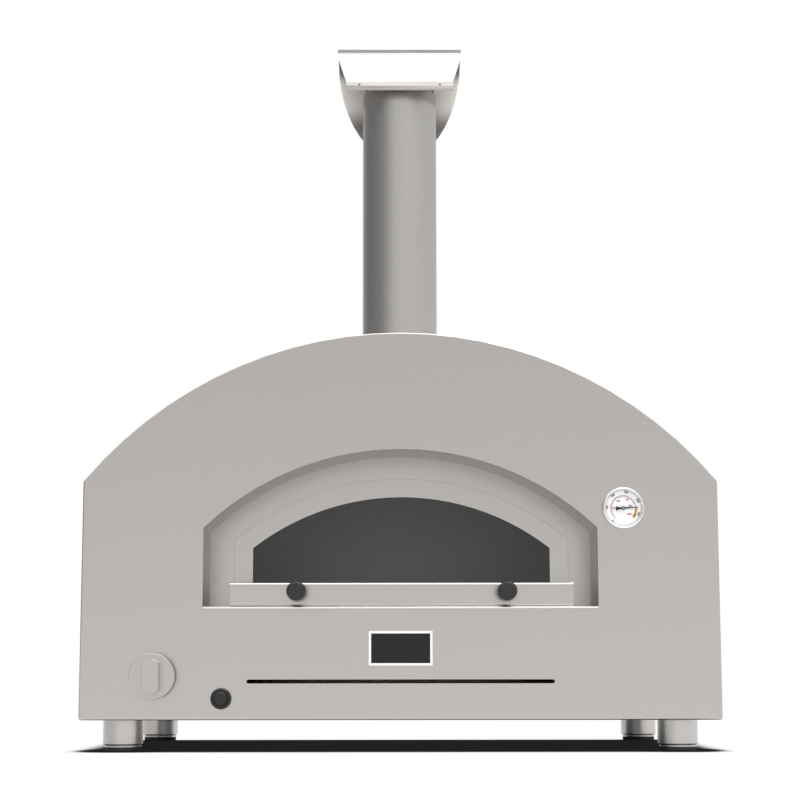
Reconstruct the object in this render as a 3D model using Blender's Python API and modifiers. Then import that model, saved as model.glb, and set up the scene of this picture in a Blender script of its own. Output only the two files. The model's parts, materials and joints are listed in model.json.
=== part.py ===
"""A free-standing gas pizza oven in brushed steel, piece by piece.

Metres, +Z up, the front faces -Y, and the ground under the feet is z = 0.
"""

import math
from collections import namedtuple

import bmesh
import bpy

# Driving dimensions

BODY_HALF_WIDTH = 0.490
BODY_DEPTH = 0.640
BODY_BASE = 0.0478
BODY_SIDE_HEIGHT = 0.3642
BODY_ARCH_RISE = 0.234
BODY_CORNER = 0.008
COOKING_FLOOR_RISE = 0.1715
MOUTH_JAMB = 0.1865
MOUTH_SHOULDER_DROP = 0.0716
MOUTH_CROWN = 0.1836
RECESS_DEPTH = 0.115
CHAMBER_JAMB = 0.100
CHAMBER_SHOULDER_DROP = 0.068
CHAMBER_CROWN = 0.126
FLUE_RADIUS = 0.0625
FLUE_HEIGHT = 0.4525
FLUE_SETBACK = 0.240
DOOR_JAMB = 0.0375
DOOR_SHOULDER_DROP = 0.0102
DOOR_CROWN = 0.0354
DOOR_SHIFT = 0.0018
GAS_INSET = 0.1126
GAS_RISE = 0.0665
GAS_KNOB_REACH = 0.036
INLET_REACH = 0.030

# What they lead to, with heights above the ground

BODY_SHOULDER = BODY_BASE + BODY_SIDE_HEIGHT
BODY_APEX = BODY_SHOULDER + BODY_ARCH_RISE
COOKING_FLOOR = BODY_BASE + COOKING_FLOOR_RISE
MOUTH_HALF_WIDTH = BODY_HALF_WIDTH - MOUTH_JAMB
MOUTH_SHOULDER = BODY_SHOULDER - MOUTH_SHOULDER_DROP
MOUTH_APEX = BODY_APEX - MOUTH_CROWN
CHAMBER_HALF_WIDTH = BODY_HALF_WIDTH - CHAMBER_JAMB
CHAMBER_SHOULDER = BODY_SHOULDER - CHAMBER_SHOULDER_DROP
CHAMBER_APEX = BODY_APEX - CHAMBER_CROWN
FLUE_TOP = BODY_APEX + FLUE_HEIGHT
DOOR_HALF_WIDTH = MOUTH_HALF_WIDTH - DOOR_JAMB
DOOR_SHOULDER = MOUTH_SHOULDER - DOOR_SHOULDER_DROP
DOOR_APEX = MOUTH_APEX - DOOR_CROWN
GAS_X = GAS_INSET - BODY_HALF_WIDTH
GAS_Z = BODY_BASE + GAS_RISE

# Sheet metal and fits

SHEET = 0.0015
HEAVY_SHEET = 0.002
FLANGE = 0.018
GAP = 0.0003
WELD = GAP / 30
OVERRUN = 0.004

# The whole object, knob to gas inlet, is centred on y = 0

FRONT = -(BODY_DEPTH + INLET_REACH - GAS_KNOB_REACH) / 2
REAR = FRONT + BODY_DEPTH
FLUE_Y = FRONT + FLUE_SETBACK

# Turns a piece about its local Z to face the front

FACING = (math.pi / 2, 0, 0)

# Facet counts

ARCH_STEPS = 26
CORNER_STEPS = 3
FINE_STEPS = 48
ROUND_STEPS = 32
SMALL_STEPS = 16
BEND_STEPS = 5
SLOT_END_STEPS = 6
COIL_STEPS = 10

FINISHES = {
    "brushed_steel": ((0.47, 0.455, 0.44), 0.36, 1.0),
    "dull_steel": ((0.36, 0.35, 0.34), 0.5, 1.0),
    "black_plastic": ((0.02, 0.02, 0.02), 0.45, 0.0),
    "rubber": ((0.025, 0.025, 0.025), 0.8, 0.0),
    "brass": ((0.62, 0.44, 0.18), 0.35, 1.0),
    "firebrick": ((0.62, 0.52, 0.40), 0.9, 0.0),
    "ceramic_wool": ((0.80, 0.79, 0.74), 0.95, 0.0),
    "ceramic": ((0.85, 0.83, 0.78), 0.4, 0.0),
    "dark_glass": ((0.05, 0.052, 0.052), 0.08, 0.0),
    "clear_glass": ((0.90, 0.91, 0.91), 0.05, 0.0),
    "white_enamel": ((0.86, 0.86, 0.85), 0.4, 0.0),
    "black_enamel": ((0.03, 0.033, 0.035), 0.35, 0.0),
    "copper": ((0.66, 0.36, 0.24), 0.35, 1.0),
}

# Ways of making a piece


def clear_scene():
    for obj in list(bpy.data.objects):
        bpy.data.objects.remove(obj)


def collection(name):
    made = bpy.data.collections.new(name)
    bpy.context.scene.collection.children.link(made)
    return made


def paint(obj, finish):
    """Gives the piece a material of its own in the named finish."""
    colour, roughness, metallic = FINISHES[finish]
    material = bpy.data.materials.new(obj.name)
    material.use_nodes = True
    shader = material.node_tree.nodes["Principled BSDF"]
    shader.inputs["Base Color"].default_value = (*colour, 1)
    shader.inputs["Roughness"].default_value = roughness
    shader.inputs["Metallic"].default_value = metallic
    obj.data.materials.append(material)


def piece(name, mesh, finish, place=(0, 0, 0), turn=(0, 0, 0)):
    """A finished piece, with its origin at place."""
    obj = bpy.data.objects.new(name, mesh)
    PARTS.objects.link(obj)
    obj.location = place
    obj.rotation_euler = turn
    paint(obj, finish)
    return obj


def cutter(mesh, place=(0, 0, 0), turn=(0, 0, 0)):
    """A solid that only cuts others."""
    obj = bpy.data.objects.new("cutter", mesh)
    CUTTERS.objects.link(obj)
    obj.location = place
    obj.rotation_euler = turn
    obj.hide_render = True
    obj.display_type = "WIRE"
    return obj


def combine(obj, other, operation="DIFFERENCE"):
    boolean = obj.modifiers.new(operation.lower(), "BOOLEAN")
    boolean.operation = operation
    boolean.solver = "EXACT"
    boolean.object = other
    return obj


def soften(obj, width, segments=2):
    bevel = obj.modifiers.new("soften", "BEVEL")
    bevel.width = width
    bevel.segments = segments
    bevel.limit_method = "ANGLE"
    return obj


def mesh_of(curve):
    """The closed mesh of a curve, with its loose caps welded on."""
    obj = bpy.data.objects.new("guide", curve)
    bpy.context.scene.collection.objects.link(obj)
    graph = bpy.context.evaluated_depsgraph_get()
    mesh = bpy.data.meshes.new_from_object(obj.evaluated_get(graph))
    bm = bmesh.new()
    bm.from_mesh(mesh)
    bmesh.ops.remove_doubles(bm, verts=bm.verts, dist=WELD)
    bm.to_mesh(mesh)
    bm.free()
    bpy.data.objects.remove(obj)
    return mesh


def flat_mesh(thickness, *outlines):
    """A flat sheet in local X and Y. The first outline is its edge and the others are holes."""
    curve = bpy.data.curves.new("outline", "CURVE")
    curve.dimensions = "2D"
    curve.fill_mode = "BOTH"
    curve.extrude = thickness / 2
    for outline in outlines:
        spline = curve.splines.new("POLY")
        spline.points.add(len(outline) - 1)
        for point, (x, y) in zip(spline.points, outline):
            point.co = (x, y, 0, 1)
        spline.use_cyclic_u = True
    return mesh_of(curve)


def upright(start, end, *outlines):
    """A solid whose outline is in X and Z and which runs back from y = start to y = end."""
    mesh = flat_mesh(end - start, *outlines)
    return mesh, (0, (start + end) / 2, 0), (math.pi / 2, 0, 0)


def sideways(left, right, *outlines):
    """A solid whose outline is in Y and Z and which runs from x = left to x = right."""
    mesh = flat_mesh(right - left, *outlines)
    return mesh, ((left + right) / 2, 0, 0), (math.pi / 2, 0, math.pi / 2)


def level(bottom, top, *outlines):
    """A solid whose outline is in X and Y and which stands from z = bottom to z = top."""
    mesh = flat_mesh(top - bottom, *outlines)
    return mesh, (0, 0, (bottom + top) / 2), (0, 0, 0)


def turned(name, finish, profile, place, turn=(0, 0, 0), steps=ROUND_STEPS):
    """A turned piece. The profile is in radius and height and runs down its outer side."""
    mesh = bpy.data.meshes.new(name)
    closed = profile[0][0] > 0
    edges = [(i, i + 1) for i in range(len(profile) - 1)]
    if closed:
        edges.append((len(profile) - 1, 0))
    mesh.from_pydata([(radius, 0, height) for radius, height in profile], edges, [])
    obj = piece(name, mesh, finish, place, turn)
    screw = obj.modifiers.new("turning", "SCREW")
    screw.steps = steps
    screw.render_steps = steps
    screw.use_merge_vertices = True
    screw.merge_threshold = WELD
    mesh.shade_smooth()
    return obj


def rod_mesh(radius, length, steps=ROUND_STEPS):
    """A round bar about local Z, centred on its origin."""
    bm = bmesh.new()
    bmesh.ops.create_cone(
        bm, cap_ends=True, segments=steps, radius1=radius, radius2=radius, depth=length
    )
    mesh = bpy.data.meshes.new("rod")
    bm.to_mesh(mesh)
    bm.free()
    return mesh


def flue_hole(bottom, top):
    """A cutter for the flue pipe's way through a piece."""
    place = (0, FLUE_Y, (bottom + top) / 2)
    return cutter(rod_mesh(FLUE_RADIUS + GAP, top - bottom), place)


def wire(points, radius, resolution):
    """A round wire or pipe along the points, as a curve."""
    curve = bpy.data.curves.new("wire", "CURVE")
    curve.dimensions = "3D"
    curve.bevel_depth = radius
    curve.bevel_resolution = resolution
    curve.use_fill_caps = True
    spline = curve.splines.new("POLY")
    spline.points.add(len(points) - 1)
    for point, place in zip(spline.points, points):
        point.co = (*place, 1)
    return curve


def tube(name, finish, points, radius, resolution=2):
    return piece(name, wire(points, radius, resolution), finish)


def rounded(corners, radius):
    """A route through the corners, with each inner corner turned on an arc."""
    route = [corners[0]]
    for before, corner, after in zip(corners, corners[1:], corners[2:]):
        back = [b - c for b, c in zip(before, corner)]
        on = [a - c for a, c in zip(after, corner)]
        back_length = math.hypot(*back)
        on_length = math.hypot(*on)
        back = [b / back_length for b in back]
        on = [o / on_length for o in on]
        half = math.acos(max(-1, min(1, sum(b * o for b, o in zip(back, on))))) / 2
        reach = min(radius / math.tan(half), back_length / 2, on_length / 2)
        start = [c + b * reach for c, b in zip(corner, back)]
        end = [c + o * reach for c, o in zip(corner, on)]
        for step in range(BEND_STEPS + 1):
            t = step / BEND_STEPS
            route.append(
                tuple(
                    (1 - t) ** 2 * s + 2 * t * (1 - t) * c + t * t * e
                    for s, c, e in zip(start, corner, end)
                )
            )
    route.append(corners[-1])
    return route


def coil(radius, thickness, length, turns):
    """The route of a compression spring about local Z, from its foot upwards."""
    count = turns * COIL_STEPS
    rise = length - 2 * thickness
    return [
        (
            radius * math.cos(2 * math.pi * i / COIL_STEPS),
            radius * math.sin(2 * math.pi * i / COIL_STEPS),
            thickness + rise * i / count,
        )
        for i in range(count + 1)
    ]


# Outlines

Arch = namedtuple("Arch", "half_width base radius apex corner")


def arch_through(half_width, base, shoulder, apex, corner=0):
    """An arch whose round top springs from its straight sides at the shoulder height."""
    rise = apex - shoulder
    radius = (half_width**2 + rise**2) / (2 * rise)
    return Arch(half_width, base, radius, apex, corner)


def grown(arch, by, base=None):
    """The arch moved outwards on every side, or inwards where by is negative."""
    base = arch.base - by if base is None else base
    corner = max(arch.corner + by, 0)
    return Arch(arch.half_width + by, base, arch.radius + by, arch.apex + by, corner)


def crown_points(arch):
    """The arch's edge from the right foot, over the top, to the left foot."""
    centre = arch.apex - arch.radius
    side = arch.half_width - arch.corner
    reach = arch.radius - arch.corner
    rise = math.sqrt(max(reach**2 - side**2, 0))
    turn = math.atan2(rise, side)
    right = [(arch.half_width, arch.base), (arch.half_width, centre + rise)]
    if arch.corner:
        for step in range(1, CORNER_STEPS + 1):
            angle = turn * step / CORNER_STEPS
            right.append(
                (
                    side + arch.corner * math.cos(angle),
                    centre + rise + arch.corner * math.sin(angle),
                )
            )
    top = []
    for step in range(1, ARCH_STEPS):
        angle = turn + (math.pi - 2 * turn) * step / ARCH_STEPS
        top.append(
            (arch.radius * math.cos(angle), centre + arch.radius * math.sin(angle))
        )
    left = [(-x, z) for x, z in reversed(right)]
    return right + top + left


def hoop(outer, thickness):
    """An arched sheet seen from its end, open at the foot."""
    inner = grown(outer, -thickness, outer.base)
    return crown_points(outer) + crown_points(inner)[::-1]


def circle(radius, x=0, y=0, steps=ROUND_STEPS):
    return [
        (
            x + radius * math.cos(2 * math.pi * i / steps),
            y + radius * math.sin(2 * math.pi * i / steps),
        )
        for i in range(steps)
    ]


def slot(half_length, half_height, height):
    """A long level hole with round ends, centred on the oven."""
    reach = half_length - half_height
    turns = [math.pi * (i / SLOT_END_STEPS - 1 / 2) for i in range(SLOT_END_STEPS + 1)]
    right = [
        (reach + half_height * math.cos(a), height + half_height * math.sin(a))
        for a in turns
    ]
    return right + [(-x, 2 * height - z) for x, z in right]


def rectangle(left, right, bottom, top):
    return [(left, bottom), (right, bottom), (right, top), (left, top)]


def folded(path, thickness):
    """A sheet folded along the path, with its thickness on the left of the way it runs."""
    offset = []
    for i, (x, y) in enumerate(path):
        normals = []
        for a, b in ((i - 1, i), (i, i + 1)):
            if a < 0 or b >= len(path):
                continue
            dx = path[b][0] - path[a][0]
            dy = path[b][1] - path[a][1]
            length = math.hypot(dx, dy)
            normals.append((-dy / length, dx / length))
        nx = sum(n[0] for n in normals) / len(normals)
        ny = sum(n[1] for n in normals) / len(normals)
        stretch = nx * nx + ny * ny
        offset.append((x + nx * thickness / stretch, y + ny * thickness / stretch))
    return list(path) + offset[::-1]


# Outer shell: two pressed end panels, a sheet wrapped between them and a base tray

BODY = arch_through(
    BODY_HALF_WIDTH, BODY_BASE, BODY_SHOULDER, BODY_APEX, BODY_CORNER
)
INSIDE_PANELS = grown(BODY, -SHEET - GAP)
INSIDE_CASING = grown(INSIDE_PANELS, -SHEET - GAP, INSIDE_PANELS.base)

SILL_THICKNESS = 0.002
SILL_HEM = 0.003
MOUTH = arch_through(
    MOUTH_HALF_WIDTH,
    COOKING_FLOOR - SILL_HEM - GAP,
    MOUTH_SHOULDER,
    MOUTH_APEX,
)

SLOT_HALF_LENGTH = 0.235
SLOT_HALF_HEIGHT = 0.003
SLOT_RISE = 0.0582
SLOT_Z = BODY_BASE + SLOT_RISE
REAR_SLOT_RISE = 0.0822
REAR_SLOT_Z = BODY_BASE + REAR_SLOT_RISE

SPINDLE_RADIUS = 0.004
SPINDLE_HOLE_RADIUS = 0.0065
IGNITER_OFFSET = 0.1040
IGNITER_DROP = 0.0341
IGNITER_X = GAS_X + IGNITER_OFFSET
IGNITER_Z = GAS_Z - IGNITER_DROP
IGNITER_BARREL_RADIUS = 0.0125
THERMOMETER_INSET = 0.1466
THERMOMETER_DROP = 0.0420
THERMOMETER_X = BODY_HALF_WIDTH - THERMOMETER_INSET
THERMOMETER_Z = BODY_SHOULDER - THERMOMETER_DROP
THERMOMETER_NECK_RADIUS = 0.009
INLET_RADIUS = 0.010


def with_finish(finish, shape):
    mesh, place, turn = shape
    return mesh, finish, place, turn


def make_front_panel():
    holes = [
        crown_points(MOUTH),
        slot(SLOT_HALF_LENGTH, SLOT_HALF_HEIGHT, SLOT_Z),
        circle(SPINDLE_HOLE_RADIUS, GAS_X, GAS_Z, SMALL_STEPS),
        circle(IGNITER_BARREL_RADIUS + GAP, IGNITER_X, IGNITER_Z, SMALL_STEPS),
        circle(THERMOMETER_NECK_RADIUS + GAP, THERMOMETER_X, THERMOMETER_Z, SMALL_STEPS),
    ]
    shape = upright(FRONT, FRONT + FLANGE, crown_points(BODY), *holes)
    panel = piece("front_panel", *with_finish("brushed_steel", shape))
    inside = crown_points(grown(BODY, -SHEET))
    combine(panel, cutter(*upright(FRONT + SHEET, FRONT + FLANGE + OVERRUN, inside)))


def make_rear_panel():
    holes = [
        slot(SLOT_HALF_LENGTH, SLOT_HALF_HEIGHT, REAR_SLOT_Z),
        circle(INLET_RADIUS + GAP, GAS_X, GAS_Z, SMALL_STEPS),
    ]
    shape = upright(REAR - FLANGE, REAR, crown_points(BODY), *holes)
    panel = piece("rear_panel", *with_finish("brushed_steel", shape))
    inside = crown_points(grown(BODY, -SHEET))
    combine(panel, cutter(*upright(REAR - FLANGE - OVERRUN, REAR - SHEET, inside)))


def make_casing():
    start = FRONT + SHEET + GAP
    end = REAR - SHEET - GAP
    shape = upright(start, end, hoop(INSIDE_PANELS, SHEET))
    casing = piece("casing", *with_finish("brushed_steel", shape))
    combine(casing, flue_hole(CHAMBER_APEX, BODY_APEX + OVERRUN))


TRAY_LIP = 0.025
FOOT_INSET = 0.061
FOOT_X = BODY_HALF_WIDTH - FOOT_INSET
FOOT_SETBACK = 0.060
FOOT_REAR_SETBACK = 0.100
FOOT_RADIUS = 0.0310
FOOT_STUD_RADIUS = 0.005
FOOT_STUD_LENGTH = 0.015
FOOT_WAIST_RADIUS = 0.0270
FOOT_CHAMFER = 0.0007
FOOT_GROOVE = 0.0010
FOOT_RING_RADIUS = 0.0288
FOOT_RING = 0.0034
PAD_RADIUS = 0.0282
PAD_HEIGHT = 0.0052
PAD_ROUNDING = 0.0008

FEET = {
    "front_left": (-FOOT_X, FRONT + FOOT_SETBACK),
    "front_right": (FOOT_X, FRONT + FOOT_SETBACK),
    "rear_left": (-FOOT_X, REAR - FOOT_REAR_SETBACK),
    "rear_right": (FOOT_X, REAR - FOOT_REAR_SETBACK),
}

TRAY_BASE = BODY_BASE + SHEET + GAP


def make_base_tray():
    side = INSIDE_CASING.half_width
    path = [
        (-side, TRAY_BASE + TRAY_LIP),
        (-side, TRAY_BASE),
        (side, TRAY_BASE),
        (side, TRAY_BASE + TRAY_LIP),
    ]
    shape = upright(FRONT + SHEET + GAP, REAR - SHEET - GAP, folded(path, SHEET))
    tray = piece("base_tray", *with_finish("dull_steel", shape))
    for x, y in FEET.values():
        hole = rod_mesh(FOOT_STUD_RADIUS + GAP, SHEET + 2 * OVERRUN, SMALL_STEPS)
        combine(tray, cutter(hole, (x, y, TRAY_BASE + SHEET / 2)))


def make_feet():
    top = TRAY_BASE - GAP
    cup = PAD_HEIGHT + GAP + FOOT_RING + FOOT_GROOVE
    stud = top + FOOT_STUD_LENGTH
    ring = PAD_HEIGHT + GAP
    foot = [
        (0, stud),
        (FOOT_STUD_RADIUS, stud),
        (FOOT_STUD_RADIUS, top),
        (FOOT_RADIUS, top),
        (FOOT_RADIUS, cup + FOOT_CHAMFER),
        (FOOT_RADIUS - FOOT_CHAMFER, cup),
        (FOOT_WAIST_RADIUS, cup),
        (FOOT_WAIST_RADIUS, ring + FOOT_RING),
        (FOOT_RING_RADIUS, ring + FOOT_RING),
        (FOOT_RING_RADIUS, ring),
        (0, ring),
    ]
    pad = [
        (0, PAD_HEIGHT),
        (PAD_RADIUS, PAD_HEIGHT),
        (PAD_RADIUS, PAD_ROUNDING),
        (PAD_RADIUS - PAD_ROUNDING, 0),
        (0, 0),
    ]
    for corner, (x, y) in FEET.items():
        turned("foot_" + corner, "brushed_steel", foot, (x, y, 0))
        turned("foot_pad_" + corner, "rubber", pad, (x, y, 0))


# Mouth: a recessed arch with a steel sill, closed at the back by the throat frame

SILL_REACH = 0.0015
SILL_HEM_DEPTH = 0.012
SURROUND_LEG = 0.020

THROAT_OVERLAP = 0.010
DOOR = arch_through(DOOR_HALF_WIDTH, COOKING_FLOOR, DOOR_SHOULDER, DOOR_APEX)
THROAT = grown(DOOR, -THROAT_OVERLAP, COOKING_FLOOR)

TILE = 0.030
FLOOR_BOARD = 0.040
DOME_WOOL = 0.060
REAR_WOOL = 0.050

DECK_TOP = COOKING_FLOOR - TILE - GAP - FLOOR_BOARD - GAP
LINER = arch_through(
    CHAMBER_HALF_WIDTH, DECK_TOP + GAP, CHAMBER_SHOULDER, CHAMBER_APEX
)
WOOL = grown(LINER, GAP + DOME_WOOL, LINER.base)
FRAME_FRONT = FRONT + RECESS_DEPTH
FRAME_BACK = FRAME_FRONT + HEAVY_SHEET
CHAMBER_FRONT = FRAME_BACK + GAP
REAR_ROOM = 0.0056
WOOL_END = REAR - SHEET - REAR_ROOM
BACK_PLATE_END = WOOL_END - REAR_WOOL - GAP
BACK_PLATE_START = BACK_PLATE_END - HEAVY_SHEET
CHAMBER_END = BACK_PLATE_START - GAP

BURNER_RADIUS = 0.014
BURNER_INSET = 0.041
BURNER_DROP = 0.007
BURNER_X = BURNER_INSET - CHAMBER_HALF_WIDTH
BURNER_Z = COOKING_FLOOR - BURNER_DROP
BURNER_REACH = 0.012
PROBE_RADIUS = 0.003
THERMOCOUPLE_RADIUS = 0.0025
THERMOCOUPLE_OFFSET = 0.024
THERMOCOUPLE_RISE = 0.016
THERMOCOUPLE_X = BURNER_X - THERMOCOUPLE_OFFSET
THERMOCOUPLE_Z = BURNER_Z + THERMOCOUPLE_RISE
ELECTRODE_RADIUS = 0.004
ELECTRODE_OFFSET = 0.027
ELECTRODE_RISE = 0.018
ELECTRODE_X = BURNER_X + ELECTRODE_OFFSET
ELECTRODE_Z = BURNER_Z + ELECTRODE_RISE


def make_sill():
    back = FRAME_FRONT - GAP
    lip = FRONT - SILL_REACH
    hem = COOKING_FLOOR - SILL_HEM
    side = [
        (lip, hem),
        (lip + SILL_HEM_DEPTH, hem),
        (lip + SILL_HEM_DEPTH, COOKING_FLOOR - SILL_THICKNESS),
        (back, COOKING_FLOOR - SILL_THICKNESS),
        (back, COOKING_FLOOR),
        (lip + SILL_HEM / 6, COOKING_FLOOR),
        (lip, COOKING_FLOOR - SILL_HEM / 6),
    ]
    half = MOUTH.half_width - GAP
    shape = sideways(-half, half, side)
    piece("sill_plate", *with_finish("brushed_steel", shape))


def make_surround():
    outer = grown(MOUTH, SHEET, MOUTH.base - SURROUND_LEG)
    shape = upright(FRONT + SHEET + GAP, FRAME_FRONT - GAP, hoop(outer, SHEET))
    piece("mouth_surround", *with_finish("brushed_steel", shape))


def make_throat_frame():
    holes = [
        crown_points(THROAT),
        circle(BURNER_RADIUS + GAP, BURNER_X, BURNER_Z, SMALL_STEPS),
        circle(PROBE_RADIUS + GAP, THERMOMETER_X, THERMOMETER_Z, SMALL_STEPS),
        circle(
            THERMOCOUPLE_RADIUS + GAP, THERMOCOUPLE_X, THERMOCOUPLE_Z, SMALL_STEPS
        ),
        circle(ELECTRODE_RADIUS + GAP, ELECTRODE_X, ELECTRODE_Z, SMALL_STEPS),
    ]
    shape = upright(FRAME_FRONT, FRAME_BACK, crown_points(WOOL), *holes)
    piece("throat_frame", *with_finish("brushed_steel", shape))


# Chamber: liner, insulation and stone floor on a deck that stands on the base tray

DECK_OVERHANG = 0.004
TILE_JOINT = 0.001
BURNER_CHANNEL = 0.078


def make_deck():
    side = WOOL.half_width + DECK_OVERHANG
    foot = TRAY_BASE + SHEET + GAP
    path = [(side, foot), (side, DECK_TOP), (-side, DECK_TOP), (-side, foot)]
    shape = upright(FRAME_FRONT, WOOL_END, folded(path, SHEET))
    piece("hearth_deck", *with_finish("dull_steel", shape))


def make_liner():
    shape = upright(CHAMBER_FRONT, CHAMBER_END, hoop(LINER, HEAVY_SHEET))
    liner = piece("chamber_liner", *with_finish("dull_steel", shape))
    combine(liner, flue_hole(CHAMBER_SHOULDER, BODY_APEX))


def make_chamber_back():
    shape = upright(BACK_PLATE_START, BACK_PLATE_END, crown_points(WOOL))
    piece("chamber_back", *with_finish("dull_steel", shape))


def make_insulation():
    shape = upright(CHAMBER_FRONT, CHAMBER_END, hoop(WOOL, DOME_WOOL))
    dome = piece("dome_insulation", *with_finish("ceramic_wool", shape))
    combine(dome, flue_hole(CHAMBER_SHOULDER, BODY_APEX))
    shape = upright(BACK_PLATE_END + GAP, WOOL_END, crown_points(WOOL))
    piece("rear_insulation", *with_finish("ceramic_wool", shape))
    side = LINER.half_width - HEAVY_SHEET - GAP
    board = rectangle(-side, side, CHAMBER_FRONT + GAP, CHAMBER_END)
    shape = level(DECK_TOP + GAP, DECK_TOP + GAP + FLOOR_BOARD, board)
    piece("floor_insulation", *with_finish("ceramic_wool", shape))


def make_tiles():
    side = LINER.half_width - HEAVY_SHEET - GAP
    start = -side + BURNER_CHANNEL
    width = (side - start - TILE_JOINT) / 2
    for i, name in enumerate(("hearth_tile_left", "hearth_tile_right")):
        left = start + i * (width + TILE_JOINT)
        outline = rectangle(left, left + width, CHAMBER_FRONT + GAP, CHAMBER_END)
        shape = level(COOKING_FLOOR - TILE, COOKING_FLOOR, outline)
        piece(name, *with_finish("firebrick", shape))


# Flue and rain cowl

FLUE_WALL = 0.002
FLUE_INSIDE = 0.012
FLUE_FOOT = CHAMBER_APEX - FLUE_INSIDE
COLLAR_WALL = 0.003
COLLAR_HEIGHT = 0.024

COWL_HALF_WIDTH = 0.1065
COWL_TOP_HALF_WIDTH = 0.1081
COWL_RISE = 0.107
COWL_TOP = FLUE_TOP + COWL_RISE
COWL_SIDE_HEIGHT = 0.022
COWL_SPRING = COWL_TOP - COWL_SIDE_HEIGHT
COWL_DROP = 0.179
COWL_STEPS = 22
VISOR_FRONT_HALF_WIDTH = 0.0905
VISOR_SETBACK = 0.075
VISOR_LIP_DROP = 0.0098
VISOR_LIP_HEIGHT = 0.0128
VISOR_REAR_DROP = 0.0063
VISOR_LIP = FLUE_TOP - VISOR_LIP_DROP
VISOR_FOLD = VISOR_LIP + VISOR_LIP_HEIGHT
VISOR_FOLD_RADIUS = 0.018
VISOR_REAR = COWL_TOP - VISOR_REAR_DROP
VISOR_TAPER = 1.26
VISOR_ROWS = 8
COWL_BRACKET_X = 0.056
COWL_BRACKET_TAB = 0.0165
COWL_BRACKET_TAB_BASE = 0.0028
COWL_BRACKET_TAB_TOP = 0.0090
COWL_BRACKET_SETBACK = 0.0017
COWL_BRACKET_NOSE = 0.024
COWL_BRACKET_KNEE = 0.037
COWL_BRACKET_HALF_DEPTH = 0.014
COWL_BRACKET_RISE = 0.015
COWL_BRACKET_STRIP = 0.010
COWL_BRACKET_LEG = 0.015

COWL_FRONT = FLUE_Y + FLUE_RADIUS + GAP


def make_flue():
    inner = FLUE_RADIUS - FLUE_WALL
    pipe = [
        (FLUE_RADIUS, FLUE_TOP),
        (FLUE_RADIUS, FLUE_FOOT),
        (inner, FLUE_FOOT),
        (inner, FLUE_TOP),
    ]
    turned("flue_pipe", "brushed_steel", pipe, (0, FLUE_Y, 0), steps=FINE_STEPS)
    bore = FLUE_RADIUS + GAP
    top = BODY_APEX + COLLAR_HEIGHT
    foot = BODY_SHOULDER
    ring = [
        (bore + COLLAR_WALL, top),
        (bore + COLLAR_WALL, foot),
        (bore, foot),
        (bore, top),
    ]
    collar = turned("flue_collar", "brushed_steel", ring, (0, FLUE_Y, 0), steps=FINE_STEPS)
    under = grown(INSIDE_PANELS, GAP, BODY_BASE)
    combine(collar, cutter(*upright(FRONT, REAR, crown_points(under))))


def make_cowl_plate():
    """A flat shield whose top strip, above the visor, is a little wider than the rest."""
    lower = [
        (
            COWL_HALF_WIDTH * math.cos(-math.pi * i / COWL_STEPS),
            COWL_SPRING + COWL_DROP * math.sin(-math.pi * i / COWL_STEPS),
        )
        for i in range(COWL_STEPS + 1)
    ]
    strip = [
        (-COWL_HALF_WIDTH, VISOR_REAR),
        (-COWL_TOP_HALF_WIDTH, VISOR_REAR),
        (-COWL_TOP_HALF_WIDTH, COWL_TOP),
        (COWL_TOP_HALF_WIDTH, COWL_TOP),
        (COWL_TOP_HALF_WIDTH, VISOR_REAR),
        (COWL_HALF_WIDTH, VISOR_REAR),
    ]
    shape = upright(COWL_FRONT, COWL_FRONT + HEAVY_SHEET, strip + lower)
    piece("cowl_back_plate", *with_finish("brushed_steel", shape))


def make_visor():
    """A sloping sheet, wider at the back, with its front edge folded down."""
    lip_y = FLUE_Y - VISOR_SETBACK
    slope = math.atan2(VISOR_REAR - VISOR_FOLD, COWL_FRONT - lip_y)
    rear_y = COWL_FRONT - GAP - SHEET * math.sin(slope)
    reach = VISOR_FOLD_RADIUS * math.tan((math.pi / 2 - slope) / 2)
    profile = [(lip_y, VISOR_LIP), (lip_y, VISOR_FOLD - reach)]
    centre_y = lip_y + VISOR_FOLD_RADIUS
    centre_z = VISOR_FOLD - reach
    for step in range(1, CORNER_STEPS + 1):
        angle = math.pi - (math.pi / 2 - slope) * step / CORNER_STEPS
        profile.append(
            (
                centre_y + VISOR_FOLD_RADIUS * math.cos(angle),
                centre_z + VISOR_FOLD_RADIUS * math.sin(angle),
            )
        )
    fold_y, fold_z = profile[-1]
    for step in range(1, VISOR_ROWS + 1):
        t = step / VISOR_ROWS
        profile.append((fold_y + (rear_y - fold_y) * t, fold_z + (VISOR_REAR - fold_z) * t))
    bm = bmesh.new()
    rows = []
    spread = COWL_HALF_WIDTH - VISOR_FRONT_HALF_WIDTH
    for y, z in profile:
        t = max(0, (y - fold_y) / (rear_y - fold_y))
        half = min(VISOR_FRONT_HALF_WIDTH + VISOR_TAPER * spread * t, COWL_HALF_WIDTH)
        rows.append([bm.verts.new((x, y, z)) for x in (-half, half)])
    for lower, upper in zip(rows, rows[1:]):
        bm.faces.new((lower[0], lower[1], upper[1], upper[0]))
    mesh = bpy.data.meshes.new("cowl_visor")
    bm.to_mesh(mesh)
    bm.free()
    visor = piece("cowl_visor", mesh, "brushed_steel")
    shell = visor.modifiers.new("thickness", "SOLIDIFY")
    shell.thickness = SHEET
    shell.offset = -1
    shell.use_even_offset = True


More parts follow.
